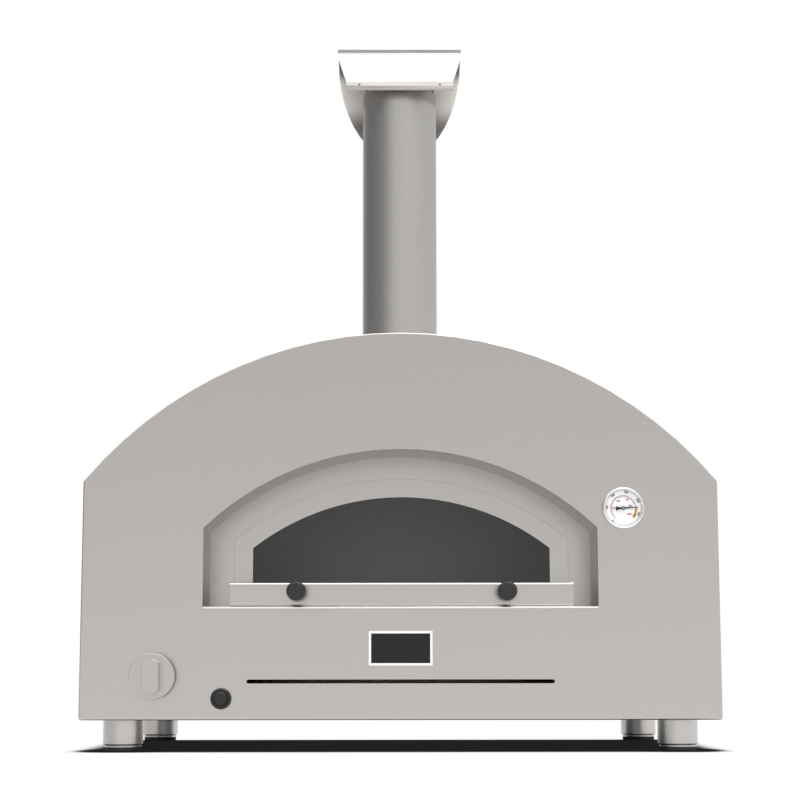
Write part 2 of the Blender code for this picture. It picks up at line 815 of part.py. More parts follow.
def make_brackets():
    """Two plates that rise out of the pipe and reach to a tab behind the visor's lip."""
    tab_y = FLUE_Y - VISOR_SETBACK + SHEET + COWL_BRACKET_SETBACK
    base = VISOR_LIP + COWL_BRACKET_TAB_BASE
    tab_top = VISOR_LIP + COWL_BRACKET_TAB_TOP
    top = FLUE_TOP + COWL_BRACKET_RISE
    under = top - COWL_BRACKET_STRIP
    foot = FLUE_TOP - COWL_BRACKET_LEG
    side_view = [
        (tab_y, base),
        (tab_y, tab_top),
        (tab_y + COWL_BRACKET_NOSE, top),
        (FLUE_Y + COWL_BRACKET_HALF_DEPTH, top),
        (FLUE_Y + COWL_BRACKET_HALF_DEPTH, foot),
        (FLUE_Y - COWL_BRACKET_HALF_DEPTH, foot),
        (FLUE_Y - COWL_BRACKET_HALF_DEPTH, under),
        (tab_y + COWL_BRACKET_KNEE, under),
    ]
    for name, side in (("cowl_bracket_left", -1), ("cowl_bracket_right", 1)):
        near = side * COWL_BRACKET_X
        far = side * (COWL_BRACKET_X + HEAVY_SHEET)
        end = side * (COWL_BRACKET_X + COWL_BRACKET_TAB)
        shape = sideways(min(near, far), max(near, far), side_view)
        bracket = piece(name, *with_finish("dull_steel", shape))
        tab = rectangle(min(near, end), max(near, end), base, tab_top)
        combine(bracket, cutter(*upright(tab_y, tab_y + HEAVY_SHEET, tab)), "UNION")


# Door: an arched plate with a glass pane, on a tray whose front edge is the handle bar

DOOR_BORDER = 0.0295
GLASS = 0.004
GLASS_LAP = 0.010
RETAINER_WALL = 0.002
BAR_SETBACK = 0.004
BAR_INSET = 0.0017
BAR_HEIGHT = 0.0367
BAR_RETURN = 0.012
TRAY_REAR_FLANGE = 0.012
KNOB_X = 0.1607
KNOB_RISE = 0.0227
KNOB_RADIUS = 0.0148
KNOB_THICKNESS = 0.018
KNOB_STANDOFF = 0.020
KNOB_ROUNDING = 0.003
KNOB_NECK_RADIUS = 0.0065
KNOB_SCREW_RADIUS = 0.003
KNOB_SCREW_HEAD_RADIUS = 0.0055
KNOB_SCREW_HEAD = 0.003
KNOB_SCREW_DEPTH = 0.010

DOOR_BACK = FRAME_FRONT - 3 * GAP
DOOR_START = DOOR_BACK - HEAVY_SHEET
GLASS_START = DOOR_BACK + GAP
WINDOW_SILL_RISE = 0.0255
WINDOW = grown(DOOR, -DOOR_BORDER, COOKING_FLOOR + WINDOW_SILL_RISE)
PANE = grown(WINDOW, GLASS_LAP)
TRAY_FLOOR = COOKING_FLOOR + GAP
BAR_FRONT = FRONT + BAR_SETBACK
KNOB_Z = TRAY_FLOOR + KNOB_RISE


def on_door(shape):
    """The door stands a little to the right in its mouth."""
    mesh, (x, y, z), turn = shape
    return mesh, (x + DOOR_SHIFT, y, z), turn


def make_door():
    base = TRAY_FLOOR + SHEET + GAP
    edge = crown_points(grown(DOOR, 0, base))
    shape = on_door(upright(DOOR_START, DOOR_BACK, edge, crown_points(WINDOW)))
    piece("door_plate", *with_finish("brushed_steel", shape))
    shape = on_door(upright(GLASS_START, GLASS_START + GLASS, crown_points(PANE)))
    piece("door_glass", *with_finish("dark_glass", shape))
    end = GLASS_START + GLASS + GAP + RETAINER_WALL
    outer = crown_points(grown(PANE, GAP + RETAINER_WALL))
    shape = on_door(upright(GLASS_START, end, outer, crown_points(WINDOW)))
    retainer = piece("door_glass_retainer", *with_finish("dull_steel", shape))
    seat = crown_points(grown(PANE, GAP))
    pocket = on_door(upright(GLASS_START - OVERRUN, GLASS_START + GLASS + GAP, seat))
    combine(retainer, cutter(*pocket))


def make_door_tray():
    """One folded sheet: the bar's return, the bar, the tray floor and a rear flange."""
    top = TRAY_FLOOR + BAR_HEIGHT
    rear = DOOR_START - GAP
    path = [
        (BAR_FRONT + BAR_RETURN, top),
        (BAR_FRONT, top),
        (BAR_FRONT, TRAY_FLOOR),
        (rear, TRAY_FLOOR),
        (rear, TRAY_FLOOR + TRAY_REAR_FLANGE),
    ]
    half = DOOR_HALF_WIDTH - BAR_INSET
    shape = on_door(sideways(-half, half, folded(path, SHEET)))
    tray = piece("door_tray", *with_finish("brushed_steel", shape))
    for side in (-1, 1):
        hole = rod_mesh(KNOB_SCREW_RADIUS + GAP, SHEET + 2 * OVERRUN, SMALL_STEPS)
        place = (DOOR_SHIFT + side * KNOB_X, BAR_FRONT + SHEET / 2, KNOB_Z)
        combine(tray, cutter(hole, place, FACING))


def make_door_knobs():
    """A round black knob with a narrow neck, held by a screw from behind the bar."""
    outer = KNOB_STANDOFF + KNOB_THICKNESS
    bore = KNOB_SCREW_RADIUS + GAP
    knob = [
        (0, outer),
        (KNOB_RADIUS - KNOB_ROUNDING, outer),
        (KNOB_RADIUS, outer - KNOB_ROUNDING),
        (KNOB_RADIUS, KNOB_STANDOFF + KNOB_ROUNDING),
        (KNOB_RADIUS - KNOB_ROUNDING, KNOB_STANDOFF),
        (KNOB_NECK_RADIUS, KNOB_STANDOFF),
        (KNOB_NECK_RADIUS, GAP),
        (bore, GAP),
        (bore, KNOB_SCREW_DEPTH + GAP),
        (0, KNOB_SCREW_DEPTH + GAP),
    ]
    head = -SHEET - GAP
    screw = [
        (0, KNOB_SCREW_DEPTH),
        (KNOB_SCREW_RADIUS, KNOB_SCREW_DEPTH),
        (KNOB_SCREW_RADIUS, head),
        (KNOB_SCREW_HEAD_RADIUS, head),
        (KNOB_SCREW_HEAD_RADIUS, head - KNOB_SCREW_HEAD),
        (0, head - KNOB_SCREW_HEAD),
    ]
    for name, side in (("left", -1), ("right", 1)):
        place = (DOOR_SHIFT + side * KNOB_X, BAR_FRONT, KNOB_Z)
        turned("door_knob_" + name, "black_plastic", knob, place, FACING)
        turned(
            "door_knob_screw_" + name, "dull_steel", screw, place, FACING, SMALL_STEPS
        )


# Gas valve behind the front panel, and the knob that presses and turns it

GAS_KNOB_RADIUS = 0.0348
GAS_KNOB_STANDOFF = 0.006
GAS_KNOB_DISC = 0.014
GAS_KNOB_ROUNDING = 0.0006
GRIP_HALF_WIDTH = 0.0125
GRIP_HALF_LENGTH = 0.0260
GRIP_END_RADIUS = 0.0163
GRIP_STEPS = 6
SPINDLE_IN_KNOB = 0.012
KNOB_BOSS_RADIUS = 0.012
KNOB_BOSS = 0.0015

BRACKET_HALF_WIDTH = 0.032
BRACKET_HALF_DROP = 0.024
VALVE_HALF_WIDTH = 0.018
VALVE_DEPTH = 0.050
PLUG_RADIUS = 0.0100
PLUG_LENGTH = 0.032
PLUG_BORE_RADIUS = 0.0060
PLUG_BORE_DEPTH = 0.026
SPINDLE_INSIDE = 0.012
SPRING_WIRE = 0.0005
SPRING_RADIUS = 0.0045
SPRING_TURNS = 6

BRACKET_START = FRONT + SHEET + GAP
VALVE_START = BRACKET_START + HEAVY_SHEET + GAP
VALVE_END = VALVE_START + VALVE_DEPTH


def make_gas_knob():
    disc_front = GAS_KNOB_STANDOFF + GAS_KNOB_DISC
    bore = SPINDLE_RADIUS + GAP
    disc = [
        (0, disc_front),
        (GAS_KNOB_RADIUS - GAS_KNOB_ROUNDING, disc_front),
        (GAS_KNOB_RADIUS, disc_front - GAS_KNOB_ROUNDING),
        (GAS_KNOB_RADIUS, GAS_KNOB_STANDOFF),
        (KNOB_BOSS_RADIUS, GAS_KNOB_STANDOFF),
        (KNOB_BOSS_RADIUS, GAS_KNOB_STANDOFF - KNOB_BOSS),
        (bore, GAS_KNOB_STANDOFF - KNOB_BOSS),
        (bore, GAS_KNOB_STANDOFF + SPINDLE_IN_KNOB + GAP),
        (0, GAS_KNOB_STANDOFF + SPINDLE_IN_KNOB + GAP),
    ]
    place = (GAS_X, FRONT, GAS_Z)
    knob = turned("gas_knob", "brushed_steel", disc, place, FACING, FINE_STEPS)
    lean = math.acos(GRIP_HALF_WIDTH / GRIP_END_RADIUS)
    centre = GRIP_HALF_LENGTH - GRIP_END_RADIUS
    top = [
        (GRIP_END_RADIUS * math.cos(a), centre + GRIP_END_RADIUS * math.sin(a))
        for a in (
            lean + (math.pi - 2 * lean) * i / GRIP_STEPS for i in range(GRIP_STEPS + 1)
        )
    ]
    outline = top + [(-x, -z) for x, z in top]
    low = disc_front - GAS_KNOB_ROUNDING
    grip = flat_mesh(GAS_KNOB_REACH - low, outline)
    middle = FRONT - (GAS_KNOB_REACH + low) / 2
    combine(knob, cutter(grip, (GAS_X, middle, GAS_Z), FACING), "UNION")


def make_valve():
    half_w, half_d = BRACKET_HALF_WIDTH, BRACKET_HALF_DROP
    plate = rectangle(GAS_X - half_w, GAS_X + half_w, GAS_Z - half_d, GAS_Z + half_d)
    hole = circle(SPINDLE_HOLE_RADIUS, GAS_X, GAS_Z, SMALL_STEPS)
    shape = upright(BRACKET_START, BRACKET_START + HEAVY_SHEET, plate, hole)
    piece("valve_bracket", *with_finish("dull_steel", shape))
    half = VALVE_HALF_WIDTH
    block = rectangle(GAS_X - half, GAS_X + half, GAS_Z - half, GAS_Z + half)
    body = piece(
        "valve_body", *with_finish("brass", upright(VALVE_START, VALVE_END, block))
    )
    well = PLUG_LENGTH + 2 * GAP + OVERRUN
    rod = rod_mesh(PLUG_RADIUS + GAP, well, 2 * SMALL_STEPS)
    place = (GAS_X, VALVE_START - OVERRUN + well / 2, GAS_Z)
    combine(body, cutter(rod, place, FACING))
    front = FRONT - VALVE_START - GAP
    plug = [
        (PLUG_RADIUS, front),
        (PLUG_RADIUS, front - PLUG_LENGTH),
        (0, front - PLUG_LENGTH),
        (0, front - PLUG_BORE_DEPTH),
        (PLUG_BORE_RADIUS, front - PLUG_BORE_DEPTH),
        (PLUG_BORE_RADIUS, front),
    ]
    turned_from_axis("valve_plug", "brass", plug, (GAS_X, FRONT, GAS_Z))
    tip = GAS_KNOB_STANDOFF + SPINDLE_IN_KNOB
    tail = front - SPINDLE_INSIDE
    land = PLUG_BORE_RADIUS - GAP
    spindle = [
        (0, tip),
        (SPINDLE_RADIUS, tip),
        (SPINDLE_RADIUS, tail + 2 * SPRING_WIRE + SHEET),
        (land, tail + 2 * SPRING_WIRE + SHEET),
        (land, tail),
        (0, tail),
    ]
    turned(
        "valve_spindle",
        "dull_steel",
        spindle,
        (GAS_X, FRONT, GAS_Z),
        FACING,
        SMALL_STEPS,
    )
    floor = front - PLUG_BORE_DEPTH + GAP
    room = tail - GAP - floor
    route = coil(SPRING_RADIUS, SPRING_WIRE, room, SPRING_TURNS)
    points = [(GAS_X + x, FRONT - floor - h, GAS_Z + z) for x, z, h in route]
    tube("valve_spring", "dull_steel", points, SPRING_WIRE, 0)


def turned_from_axis(name, finish, profile, place):
    """A cup turned about the line that faces the front, whose floor reaches the axis."""
    start = next(i for i, point in enumerate(profile) if point[0] == 0)
    ordered = profile[start + 1 :] + profile[: start + 1]
    turned(name, finish, ordered, place, FACING)


# Gas pipes and burner along the left of the stone floor

PIPE_RADIUS = 0.005
PIPE_BEND = 0.016
INLET_PIPE_OFFSET = 0.039
INLET_PIPE_X = GAS_X + INLET_PIPE_OFFSET
BURNER_END_ROOM = 0.0373
SADDLE_HALF_WIDTH = 0.009
CHANNEL_WALL_DROP = 0.004
INLET_FLANGE_RADIUS = 0.015
INLET_FLANGE = 0.004
INLET_NOSE_RADIUS = 0.008
INLET_INSIDE = 0.012
INLET_BORE_RADIUS = 0.004

BURNER_START = FRAME_FRONT - BURNER_REACH


def make_gas_inlet():
    """A threaded nipple through the rear panel, hollow from its outer end."""
    nose = INLET_REACH
    flange = INLET_FLANGE + GAP
    profile = [
        (0, -INLET_INSIDE + INLET_FLANGE),
        (INLET_BORE_RADIUS, -INLET_INSIDE + INLET_FLANGE),
        (INLET_BORE_RADIUS, nose),
        (INLET_NOSE_RADIUS, nose),
        (INLET_NOSE_RADIUS, flange),
        (INLET_FLANGE_RADIUS, flange),
        (INLET_FLANGE_RADIUS, GAP),
        (INLET_RADIUS, GAP),
        (INLET_RADIUS, -INLET_INSIDE),
        (0, -INLET_INSIDE),
    ]
    place = (GAS_X, REAR, GAS_Z)
    turned("gas_inlet_fitting", "brass", profile, place, (-math.pi / 2, 0, 0))


def make_pipes():
    side = GAS_X + VALVE_HALF_WIDTH + GAP
    port = (VALVE_START + VALVE_END) / 2
    inlet_y = REAR - INLET_INSIDE - GAP
    corners = [
        (side, port, GAS_Z),
        (INLET_PIPE_X, port, GAS_Z),
        (INLET_PIPE_X, inlet_y - 3 * PIPE_BEND, GAS_Z),
        (GAS_X, inlet_y - 3 * PIPE_BEND / 2, GAS_Z),
        (GAS_X, inlet_y, GAS_Z),
    ]
    tube("gas_inlet_pipe", "copper", rounded(corners, PIPE_BEND), PIPE_RADIUS)
    start = VALVE_END + GAP
    turn_y = (start + BURNER_START) / 2
    corners = [
        (GAS_X, start, GAS_Z),
        (GAS_X, turn_y, GAS_Z),
        (GAS_X, turn_y, BURNER_Z - PIPE_BEND),
        (BURNER_X, turn_y, BURNER_Z),
        (BURNER_X, BURNER_START - GAP, BURNER_Z),
    ]
    tube("gas_feed_pipe", "copper", rounded(corners, PIPE_BEND), PIPE_RADIUS)


def make_burner():
    end = CHAMBER_END - BURNER_END_ROOM
    rod = rod_mesh(BURNER_RADIUS, end - BURNER_START, SMALL_STEPS)
    place = (BURNER_X, (BURNER_START + end) / 2, BURNER_Z)
    burner = piece("burner_tube", rod, "dull_steel", place, FACING)
    soften(burner, SHEET)
    side = LINER.half_width - HEAVY_SHEET - GAP
    left = -side + GAP
    right = left + BURNER_CHANNEL - 3 * GAP
    floor = COOKING_FLOOR - TILE
    seat = BURNER_Z - BURNER_RADIUS - GAP
    rim = COOKING_FLOOR - CHANNEL_WALL_DROP
    path = [
        (left, rim),
        (left, floor),
        (BURNER_X - SADDLE_HALF_WIDTH, floor),
        (BURNER_X - SADDLE_HALF_WIDTH, seat - SHEET),
        (BURNER_X + SADDLE_HALF_WIDTH, seat - SHEET),
        (BURNER_X + SADDLE_HALF_WIDTH, floor),
        (right, floor),
        (right, rim),
    ]
    shape = upright(CHAMBER_FRONT + GAP, CHAMBER_END - GAP, folded(path, SHEET))
    piece("burner_channel", *with_finish("dull_steel", shape))


# Flame sensing and ignition

TIP_REACH = 0.030
THERMOCOUPLE_PORT = 0.012
THERMOCOUPLE_BEND = 0.012
ELECTRODE_INSIDE = 0.030
ELECTRODE_OUTSIDE = 0.016
LEAD_RADIUS = 0.0020
LEAD_BEND = 0.014

IGNITER_BEZEL_RADIUS = 0.016
IGNITER_BEZEL = 0.006
IGNITER_ROUNDING = 0.0015
IGNITER_LENGTH = 0.055
IGNITER_WALL = 0.0015
IGNITER_BUTTON_REACH = 0.010
IGNITER_BUTTON_LENGTH = 0.022
IGNITER_NUT_RADIUS = 0.0165
IGNITER_NUT = 0.005
IGNITER_FLOOR = 0.040
IGNITER_SPRING_WIRE = 0.0006
IGNITER_SPRING_RADIUS = 0.0065
IGNITER_SPRING_TURNS = 5


def make_thermocouple():
    top = GAS_Z + VALVE_HALF_WIDTH + GAP
    y = (VALVE_START + VALVE_END) / 2
    x = GAS_X - THERMOCOUPLE_PORT
    corners = [
        (x, y, top),
        (x, y, THERMOCOUPLE_Z),
        (THERMOCOUPLE_X, FRAME_FRONT - THERMOCOUPLE_BEND, THERMOCOUPLE_Z),
        (THERMOCOUPLE_X, FRAME_BACK + TIP_REACH, THERMOCOUPLE_Z),
    ]
    route = rounded(corners, THERMOCOUPLE_BEND)
    tube("thermocouple", "copper", route, THERMOCOUPLE_RADIUS, 1)


def make_electrode():
    """A ceramic rod through the throat frame, with its spark wire bent towards the burner."""
    start = FRAME_FRONT - ELECTRODE_OUTSIDE
    end = FRAME_BACK + ELECTRODE_INSIDE
    length = end - start
    mesh = rod_mesh(ELECTRODE_RADIUS, length, SMALL_STEPS)
    place = (ELECTRODE_X, (start + end) / 2, ELECTRODE_Z)
    rod = piece("spark_electrode", mesh, "ceramic", place, FACING)
    soften(rod, ELECTRODE_RADIUS / 4)
    route = [
        (ELECTRODE_X, end - 2 * ELECTRODE_RADIUS, ELECTRODE_Z),
        (ELECTRODE_X, end + 2 * ELECTRODE_RADIUS, ELECTRODE_Z),
        (ELECTRODE_X - ELECTRODE_RADIUS, end + 3 * ELECTRODE_RADIUS, ELECTRODE_Z),
    ]
    tip = mesh_of(wire(route, ELECTRODE_RADIUS / 4, 1))
    combine(rod, cutter(tip), "UNION")


def make_igniter():
    bore = IGNITER_BARREL_RADIUS - IGNITER_WALL
    floor = -IGNITER_FLOOR
    housing = [
        (0, floor),
        (bore, floor),
        (bore, IGNITER_BEZEL),
        (IGNITER_BEZEL_RADIUS - IGNITER_ROUNDING, IGNITER_BEZEL),
        (IGNITER_BEZEL_RADIUS, IGNITER_BEZEL - IGNITER_ROUNDING),
        (IGNITER_BEZEL_RADIUS, GAP),
        (IGNITER_BARREL_RADIUS, GAP),
        (IGNITER_BARREL_RADIUS, -IGNITER_LENGTH),
        (0, -IGNITER_LENGTH),
    ]
    place = (IGNITER_X, FRONT, IGNITER_Z)
    turned("igniter_housing", "black_plastic", housing, place, FACING)
    cap = bore - GAP
    foot = IGNITER_BUTTON_REACH - IGNITER_BUTTON_LENGTH
    button = [
        (0, IGNITER_BUTTON_REACH),
        (cap - IGNITER_ROUNDING, IGNITER_BUTTON_REACH),
        (cap, IGNITER_BUTTON_REACH - IGNITER_ROUNDING),
        (cap, foot),
        (0, foot),
    ]
    turned("igniter_button", "black_plastic", button, place, FACING)
    behind = -SHEET - GAP
    hole = IGNITER_BARREL_RADIUS + GAP
    nut = [
        (IGNITER_NUT_RADIUS, behind),
        (IGNITER_NUT_RADIUS, behind - IGNITER_NUT),
        (hole, behind - IGNITER_NUT),
        (hole, behind),
    ]
    turned("igniter_nut", "black_plastic", nut, place, FACING, SMALL_STEPS)
    low = floor + GAP
    room = foot - GAP - low
    route = coil(
        IGNITER_SPRING_RADIUS, IGNITER_SPRING_WIRE, room, IGNITER_SPRING_TURNS
    )
    points = [(IGNITER_X + x, FRONT - low - h, IGNITER_Z + z) for x, z, h in route]
    tube("igniter_spring", "dull_steel", points, IGNITER_SPRING_WIRE, 0)


def make_lead():
    """The spark lead from the igniter's tail to the electrode."""
    start = FRONT + IGNITER_LENGTH + GAP
    end = FRAME_FRONT - ELECTRODE_OUTSIDE - GAP
    turn_y = (start + end) / 2
    corners = [
        (IGNITER_X, start, IGNITER_Z),
        (IGNITER_X, turn_y, IGNITER_Z),
        (ELECTRODE_X, turn_y, IGNITER_Z + (IGNITER_X - ELECTRODE_X)),
        (ELECTRODE_X, turn_y, ELECTRODE_Z),
        (ELECTRODE_X, end, ELECTRODE_Z),
    ]
    tube("spark_lead", "rubber", rounded(corners, LEAD_BEND), LEAD_RADIUS, 1)


# Dial thermometer with its probe in the chamber

BEZEL_RADIUS = 0.03175
BEZEL_REACH = 0.0090
BEZEL_RING = 0.0030
BEZEL_ROUNDING = 0.0012
CASE_FLOOR = 0.0020
DIAL = 0.0008
DIAL_GLASS = 0.0015
GLASS_INSET = 0.0010
NEEDLE_LENGTH = 0.0230
NEEDLE_TAIL = 0.0114
NEEDLE_HALF_WIDTH = 0.0014
NEEDLE_TAIL_HALF_WIDTH = 0.0034
NEEDLE_THICKNESS = 0.0006
NEEDLE_HUB_RADIUS = 0.0028
NEEDLE_PIN_RADIUS = 0.0008
NEEDLE_LIFT = 0.0010
NECK_LENGTH = 0.012
PROBE_REACH = 0.045
NEEDLE_ANGLE = math.radians(3.7)


def make_thermometer():
    place = (THERMOMETER_X, FRONT, THERMOMETER_Z)
    floor = GAP + CASE_FLOOR
    inner = BEZEL_RADIUS - BEZEL_RING
    probe_end = -(FRAME_BACK - FRONT) - PROBE_REACH
    pin_hole = NEEDLE_PIN_RADIUS + GAP
    case = [
        (0, floor),
        (inner, floor),
        (inner, BEZEL_REACH),
        (BEZEL_RADIUS - BEZEL_ROUNDING, BEZEL_REACH),
        (BEZEL_RADIUS, BEZEL_REACH - BEZEL_ROUNDING),
        (BEZEL_RADIUS, GAP),
        (THERMOMETER_NECK_RADIUS, GAP),
        (THERMOMETER_NECK_RADIUS, -NECK_LENGTH),
        (PROBE_RADIUS, -NECK_LENGTH - PROBE_RADIUS),
        (PROBE_RADIUS, probe_end + PROBE_RADIUS / 2),
        (PROBE_RADIUS / 2, probe_end),
        (0, probe_end),
    ]
    turned("thermometer_case", "brushed_steel", case, place, FACING)
    face = floor + GAP + DIAL
    dial = [
        (inner - GAP, face),
        (inner - GAP, floor + GAP),
        (pin_hole, floor + GAP),
        (pin_hole, face),
    ]
    turned("thermometer_dial", "white_enamel", dial, place, FACING)
    out = BEZEL_REACH - GLASS_INSET
    glass = [(0, out), (inner - GAP, out), (inner - GAP, out - DIAL_GLASS), (0, out - DIAL_GLASS)]
    turned("thermometer_glass", "clear_glass", glass, place, FACING)
    make_needle(place, face, floor)


def make_needle(place, face, floor):
    """A pointer with an arrow-shaped tail, on a pin through the dial."""
    low = face + NEEDLE_LIFT
    c, s = math.cos(NEEDLE_ANGLE), math.sin(NEEDLE_ANGLE)
    blade = [
        (-NEEDLE_TAIL, -NEEDLE_TAIL_HALF_WIDTH),
        (-NEEDLE_TAIL / 2, -NEEDLE_HALF_WIDTH),
        (0, -NEEDLE_HALF_WIDTH),
        (NEEDLE_LENGTH, -NEEDLE_HALF_WIDTH / 4),
        (NEEDLE_LENGTH, NEEDLE_HALF_WIDTH / 4),
        (0, NEEDLE_HALF_WIDTH),
        (-NEEDLE_TAIL / 2, NEEDLE_HALF_WIDTH),
        (-NEEDLE_TAIL, NEEDLE_TAIL_HALF_WIDTH),
    ]
    outline = [(x * c - z * s, x * s + z * c) for x, z in blade]
    hub = [
        (0, low + 2 * NEEDLE_THICKNESS),
        (NEEDLE_HUB_RADIUS, low + 2 * NEEDLE_THICKNESS),
        (NEEDLE_HUB_RADIUS, low - NEEDLE_THICKNESS / 2),
        (NEEDLE_PIN_RADIUS, low - NEEDLE_THICKNESS / 2),
        (NEEDLE_PIN_RADIUS, floor + GAP),
        (0, floor + GAP),
    ]
    needle = turned(
        "thermometer_needle", "black_plastic", hub, place, FACING, SMALL_STEPS
    )
    x, y, z = place
    flat = flat_mesh(NEEDLE_THICKNESS, outline)
    middle = (x, y - low - NEEDLE_THICKNESS / 2, z)
    combine(needle, cutter(flat, middle, FACING), "UNION")


# Nameplate, left blank

PLATE_HALF_WIDTH = 0.0487
PLATE_HALF_HEIGHT = 0.0261
PLATE_DROP = 0.0633
PLATE_Z = COOKING_FLOOR - PLATE_DROP
PLATE_THICKNESS = 0.002
PLATE_BORDER = 0.0035
PLATE_RECESS = 0.0005


def make_nameplate():
    start = FRONT - GAP - PLATE_THICKNESS
    w, h = PLATE_HALF_WIDTH, PLATE_HALF_HEIGHT
    shape = upright(start, FRONT - GAP, rectangle(-w, w, PLATE_Z - h, PLATE_Z + h))
    plate = piece("nameplate", *with_finish("black_enamel", shape))
    w, h = w - PLATE_BORDER, h - PLATE_BORDER
    field = rectangle(-w, w, PLATE_Z - h, PLATE_Z + h)
    combine(plate, cutter(*upright(start - OVERRUN, start + PLATE_RECESS, field)))


clear_scene()
PARTS = collection("gas_pizza_oven")
CUTTERS = collection("cutters")
make_front_panel()
make_rear_panel()
make_casing()
make_base_tray()
make_feet()
make_sill()
make_surround()
make_throat_frame()
make_deck()
make_liner()
make_chamber_back()
make_insulation()
make_tiles()
make_flue()
make_cowl_plate()
make_visor()
make_brackets()
make_door()
make_door_tray()
make_door_knobs()
make_gas_knob()
make_valve()
make_gas_inlet()
make_pipes()
make_burner()
make_thermocouple()
make_electrode()
make_igniter()
make_lead()
make_thermometer()
make_nameplate()
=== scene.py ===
"""A free-standing gas pizza oven in brushed stainless steel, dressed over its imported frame.

Metres, +Z up, and the front faces -Y. The sections follow the oven as it is put together.
"""

import json
import math

import bmesh
import bpy
from mathutils import Matrix, Vector

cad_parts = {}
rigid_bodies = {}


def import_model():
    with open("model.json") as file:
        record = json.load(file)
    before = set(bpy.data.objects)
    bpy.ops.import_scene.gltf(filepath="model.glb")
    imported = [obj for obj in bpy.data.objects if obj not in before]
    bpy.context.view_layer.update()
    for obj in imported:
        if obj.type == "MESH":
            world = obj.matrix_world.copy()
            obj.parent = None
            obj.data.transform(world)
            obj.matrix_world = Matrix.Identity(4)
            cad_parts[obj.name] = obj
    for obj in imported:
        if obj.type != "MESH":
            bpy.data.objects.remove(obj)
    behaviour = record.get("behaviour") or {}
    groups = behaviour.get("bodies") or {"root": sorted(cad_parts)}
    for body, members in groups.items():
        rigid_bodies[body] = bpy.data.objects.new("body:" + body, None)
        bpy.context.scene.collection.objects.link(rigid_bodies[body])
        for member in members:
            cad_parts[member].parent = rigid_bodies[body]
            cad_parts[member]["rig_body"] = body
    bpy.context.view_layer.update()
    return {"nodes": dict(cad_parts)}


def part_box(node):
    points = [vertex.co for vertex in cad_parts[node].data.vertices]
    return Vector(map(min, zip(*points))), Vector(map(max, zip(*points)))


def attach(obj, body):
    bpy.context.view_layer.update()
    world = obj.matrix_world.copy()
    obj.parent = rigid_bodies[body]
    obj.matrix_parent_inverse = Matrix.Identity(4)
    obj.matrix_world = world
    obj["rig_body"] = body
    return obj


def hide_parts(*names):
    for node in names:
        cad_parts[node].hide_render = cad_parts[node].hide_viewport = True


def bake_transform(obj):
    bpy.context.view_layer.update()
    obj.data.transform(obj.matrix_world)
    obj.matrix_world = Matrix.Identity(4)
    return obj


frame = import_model()

# Base tray and the deck on it: plain rolled sheet, folded up along its sides. It is the
# unseen frame of the oven, so it keeps the dull grey that it leaves the mill with.

SAME_POINT = 1e-5
FLAT_TURN = math.radians(1)
EDGE_TURN = math.radians(30)
SHEET = 0.0015
WIDE_FACE = 0.004
SHEET_FOLD = 0.003
FOLD_SEGMENTS = 4
ROUNDING = 0.0004
FINE_ROUNDING = 0.0003
ROLLED_GREY = (0.36, 0.355, 0.345)
SCALE_BROWN = (0.23, 0.20, 0.175)
ROLLED_DULLNESS = 0.5
ROLLED_METAL = 0.9
ROLLING_MARKS = (60, 700, 60)
MARK_DEPTH = 0.00005


class Wire:
    """A socket of a material's nodes. A sum on it adds its Math nodes."""

    def __init__(self, tree, socket=None):
        self.tree = tree
        self.socket = socket

    def node(self, kind, settings=(), inputs=(), output=0):
        """Adds a node. Its settings are made before its sockets are filled."""
        made = self.tree.nodes.new(kind)
        for name, value in dict(settings).items():
            setattr(made, name, value)
        for name, value in dict(inputs).items():
            socket = made.inputs[name]
            if isinstance(value, Wire):
                self.tree.links.new(value.socket, socket)
            elif socket.type == "RGBA":
                socket.default_value = (*value, 1)
            else:
                socket.default_value = value
        return Wire(self.tree, made.outputs[output] if made.outputs else None)

    def maths(self, operation, *values):
        """A Math node on these values."""
        return self.node("ShaderNodeMath", {"operation": operation}, enumerate(values))

    def part(self, axis):
        """The x, y or z of a place, by its number from 0."""
        return self.node("ShaderNodeSeparateXYZ", (), {0: self}, output=axis)

    def mix(self, low, high):
        """The first colour where this wire is 0, and the second where it is 1."""
        inputs = {0: self, 6: low, 7: high}
        return self.node("ShaderNodeMix", {"data_type": "RGBA"}, inputs, output=2)

    def between(self, start, end, low=0.0, high=1.0):
        """Runs smoothly from low to high while this wire goes from start to end."""
        settings = {"interpolation_type": "SMOOTHSTEP"}
        values = enumerate((self, start, end, low, high))
        return self.node("ShaderNodeMapRange", settings, values)

    def __add__(self, other):
        return self.maths("ADD", self, other)

    def __sub__(self, other):
        return self.maths("SUBTRACT", self, other)

    def __rsub__(self, other):
        return self.maths("SUBTRACT", other, self)

    def __mul__(self, other):
        return self.maths("MULTIPLY", self, other)

    __radd__ = __add__
    __rmul__ = __mul__


def new_material(name):
    """A material, a wire to add its nodes with, and the place on the piece in metres."""
    made = bpy.data.materials.new(name)
    made.use_nodes = True
    made.node_tree.nodes.clear()
    wire = Wire(made.node_tree)
    return made, wire, wire.node("ShaderNodeTexCoord", output="Object")


def surface(wire, colour, roughness, metallic=0.0, normal=None, **constants):
    """Ends a material in its Principled shader."""
    inputs = {"Base Color": colour, "Roughness": roughness, "Metallic": metallic}
    if normal is not None:
        inputs["Normal"] = normal
    for name, value in constants.items():
        inputs[name.replace("_", " ")] = value
    shader = wire.node("ShaderNodeBsdfPrincipled", (), inputs)
    wire.node("ShaderNodeOutputMaterial", (), {"Surface": shader})


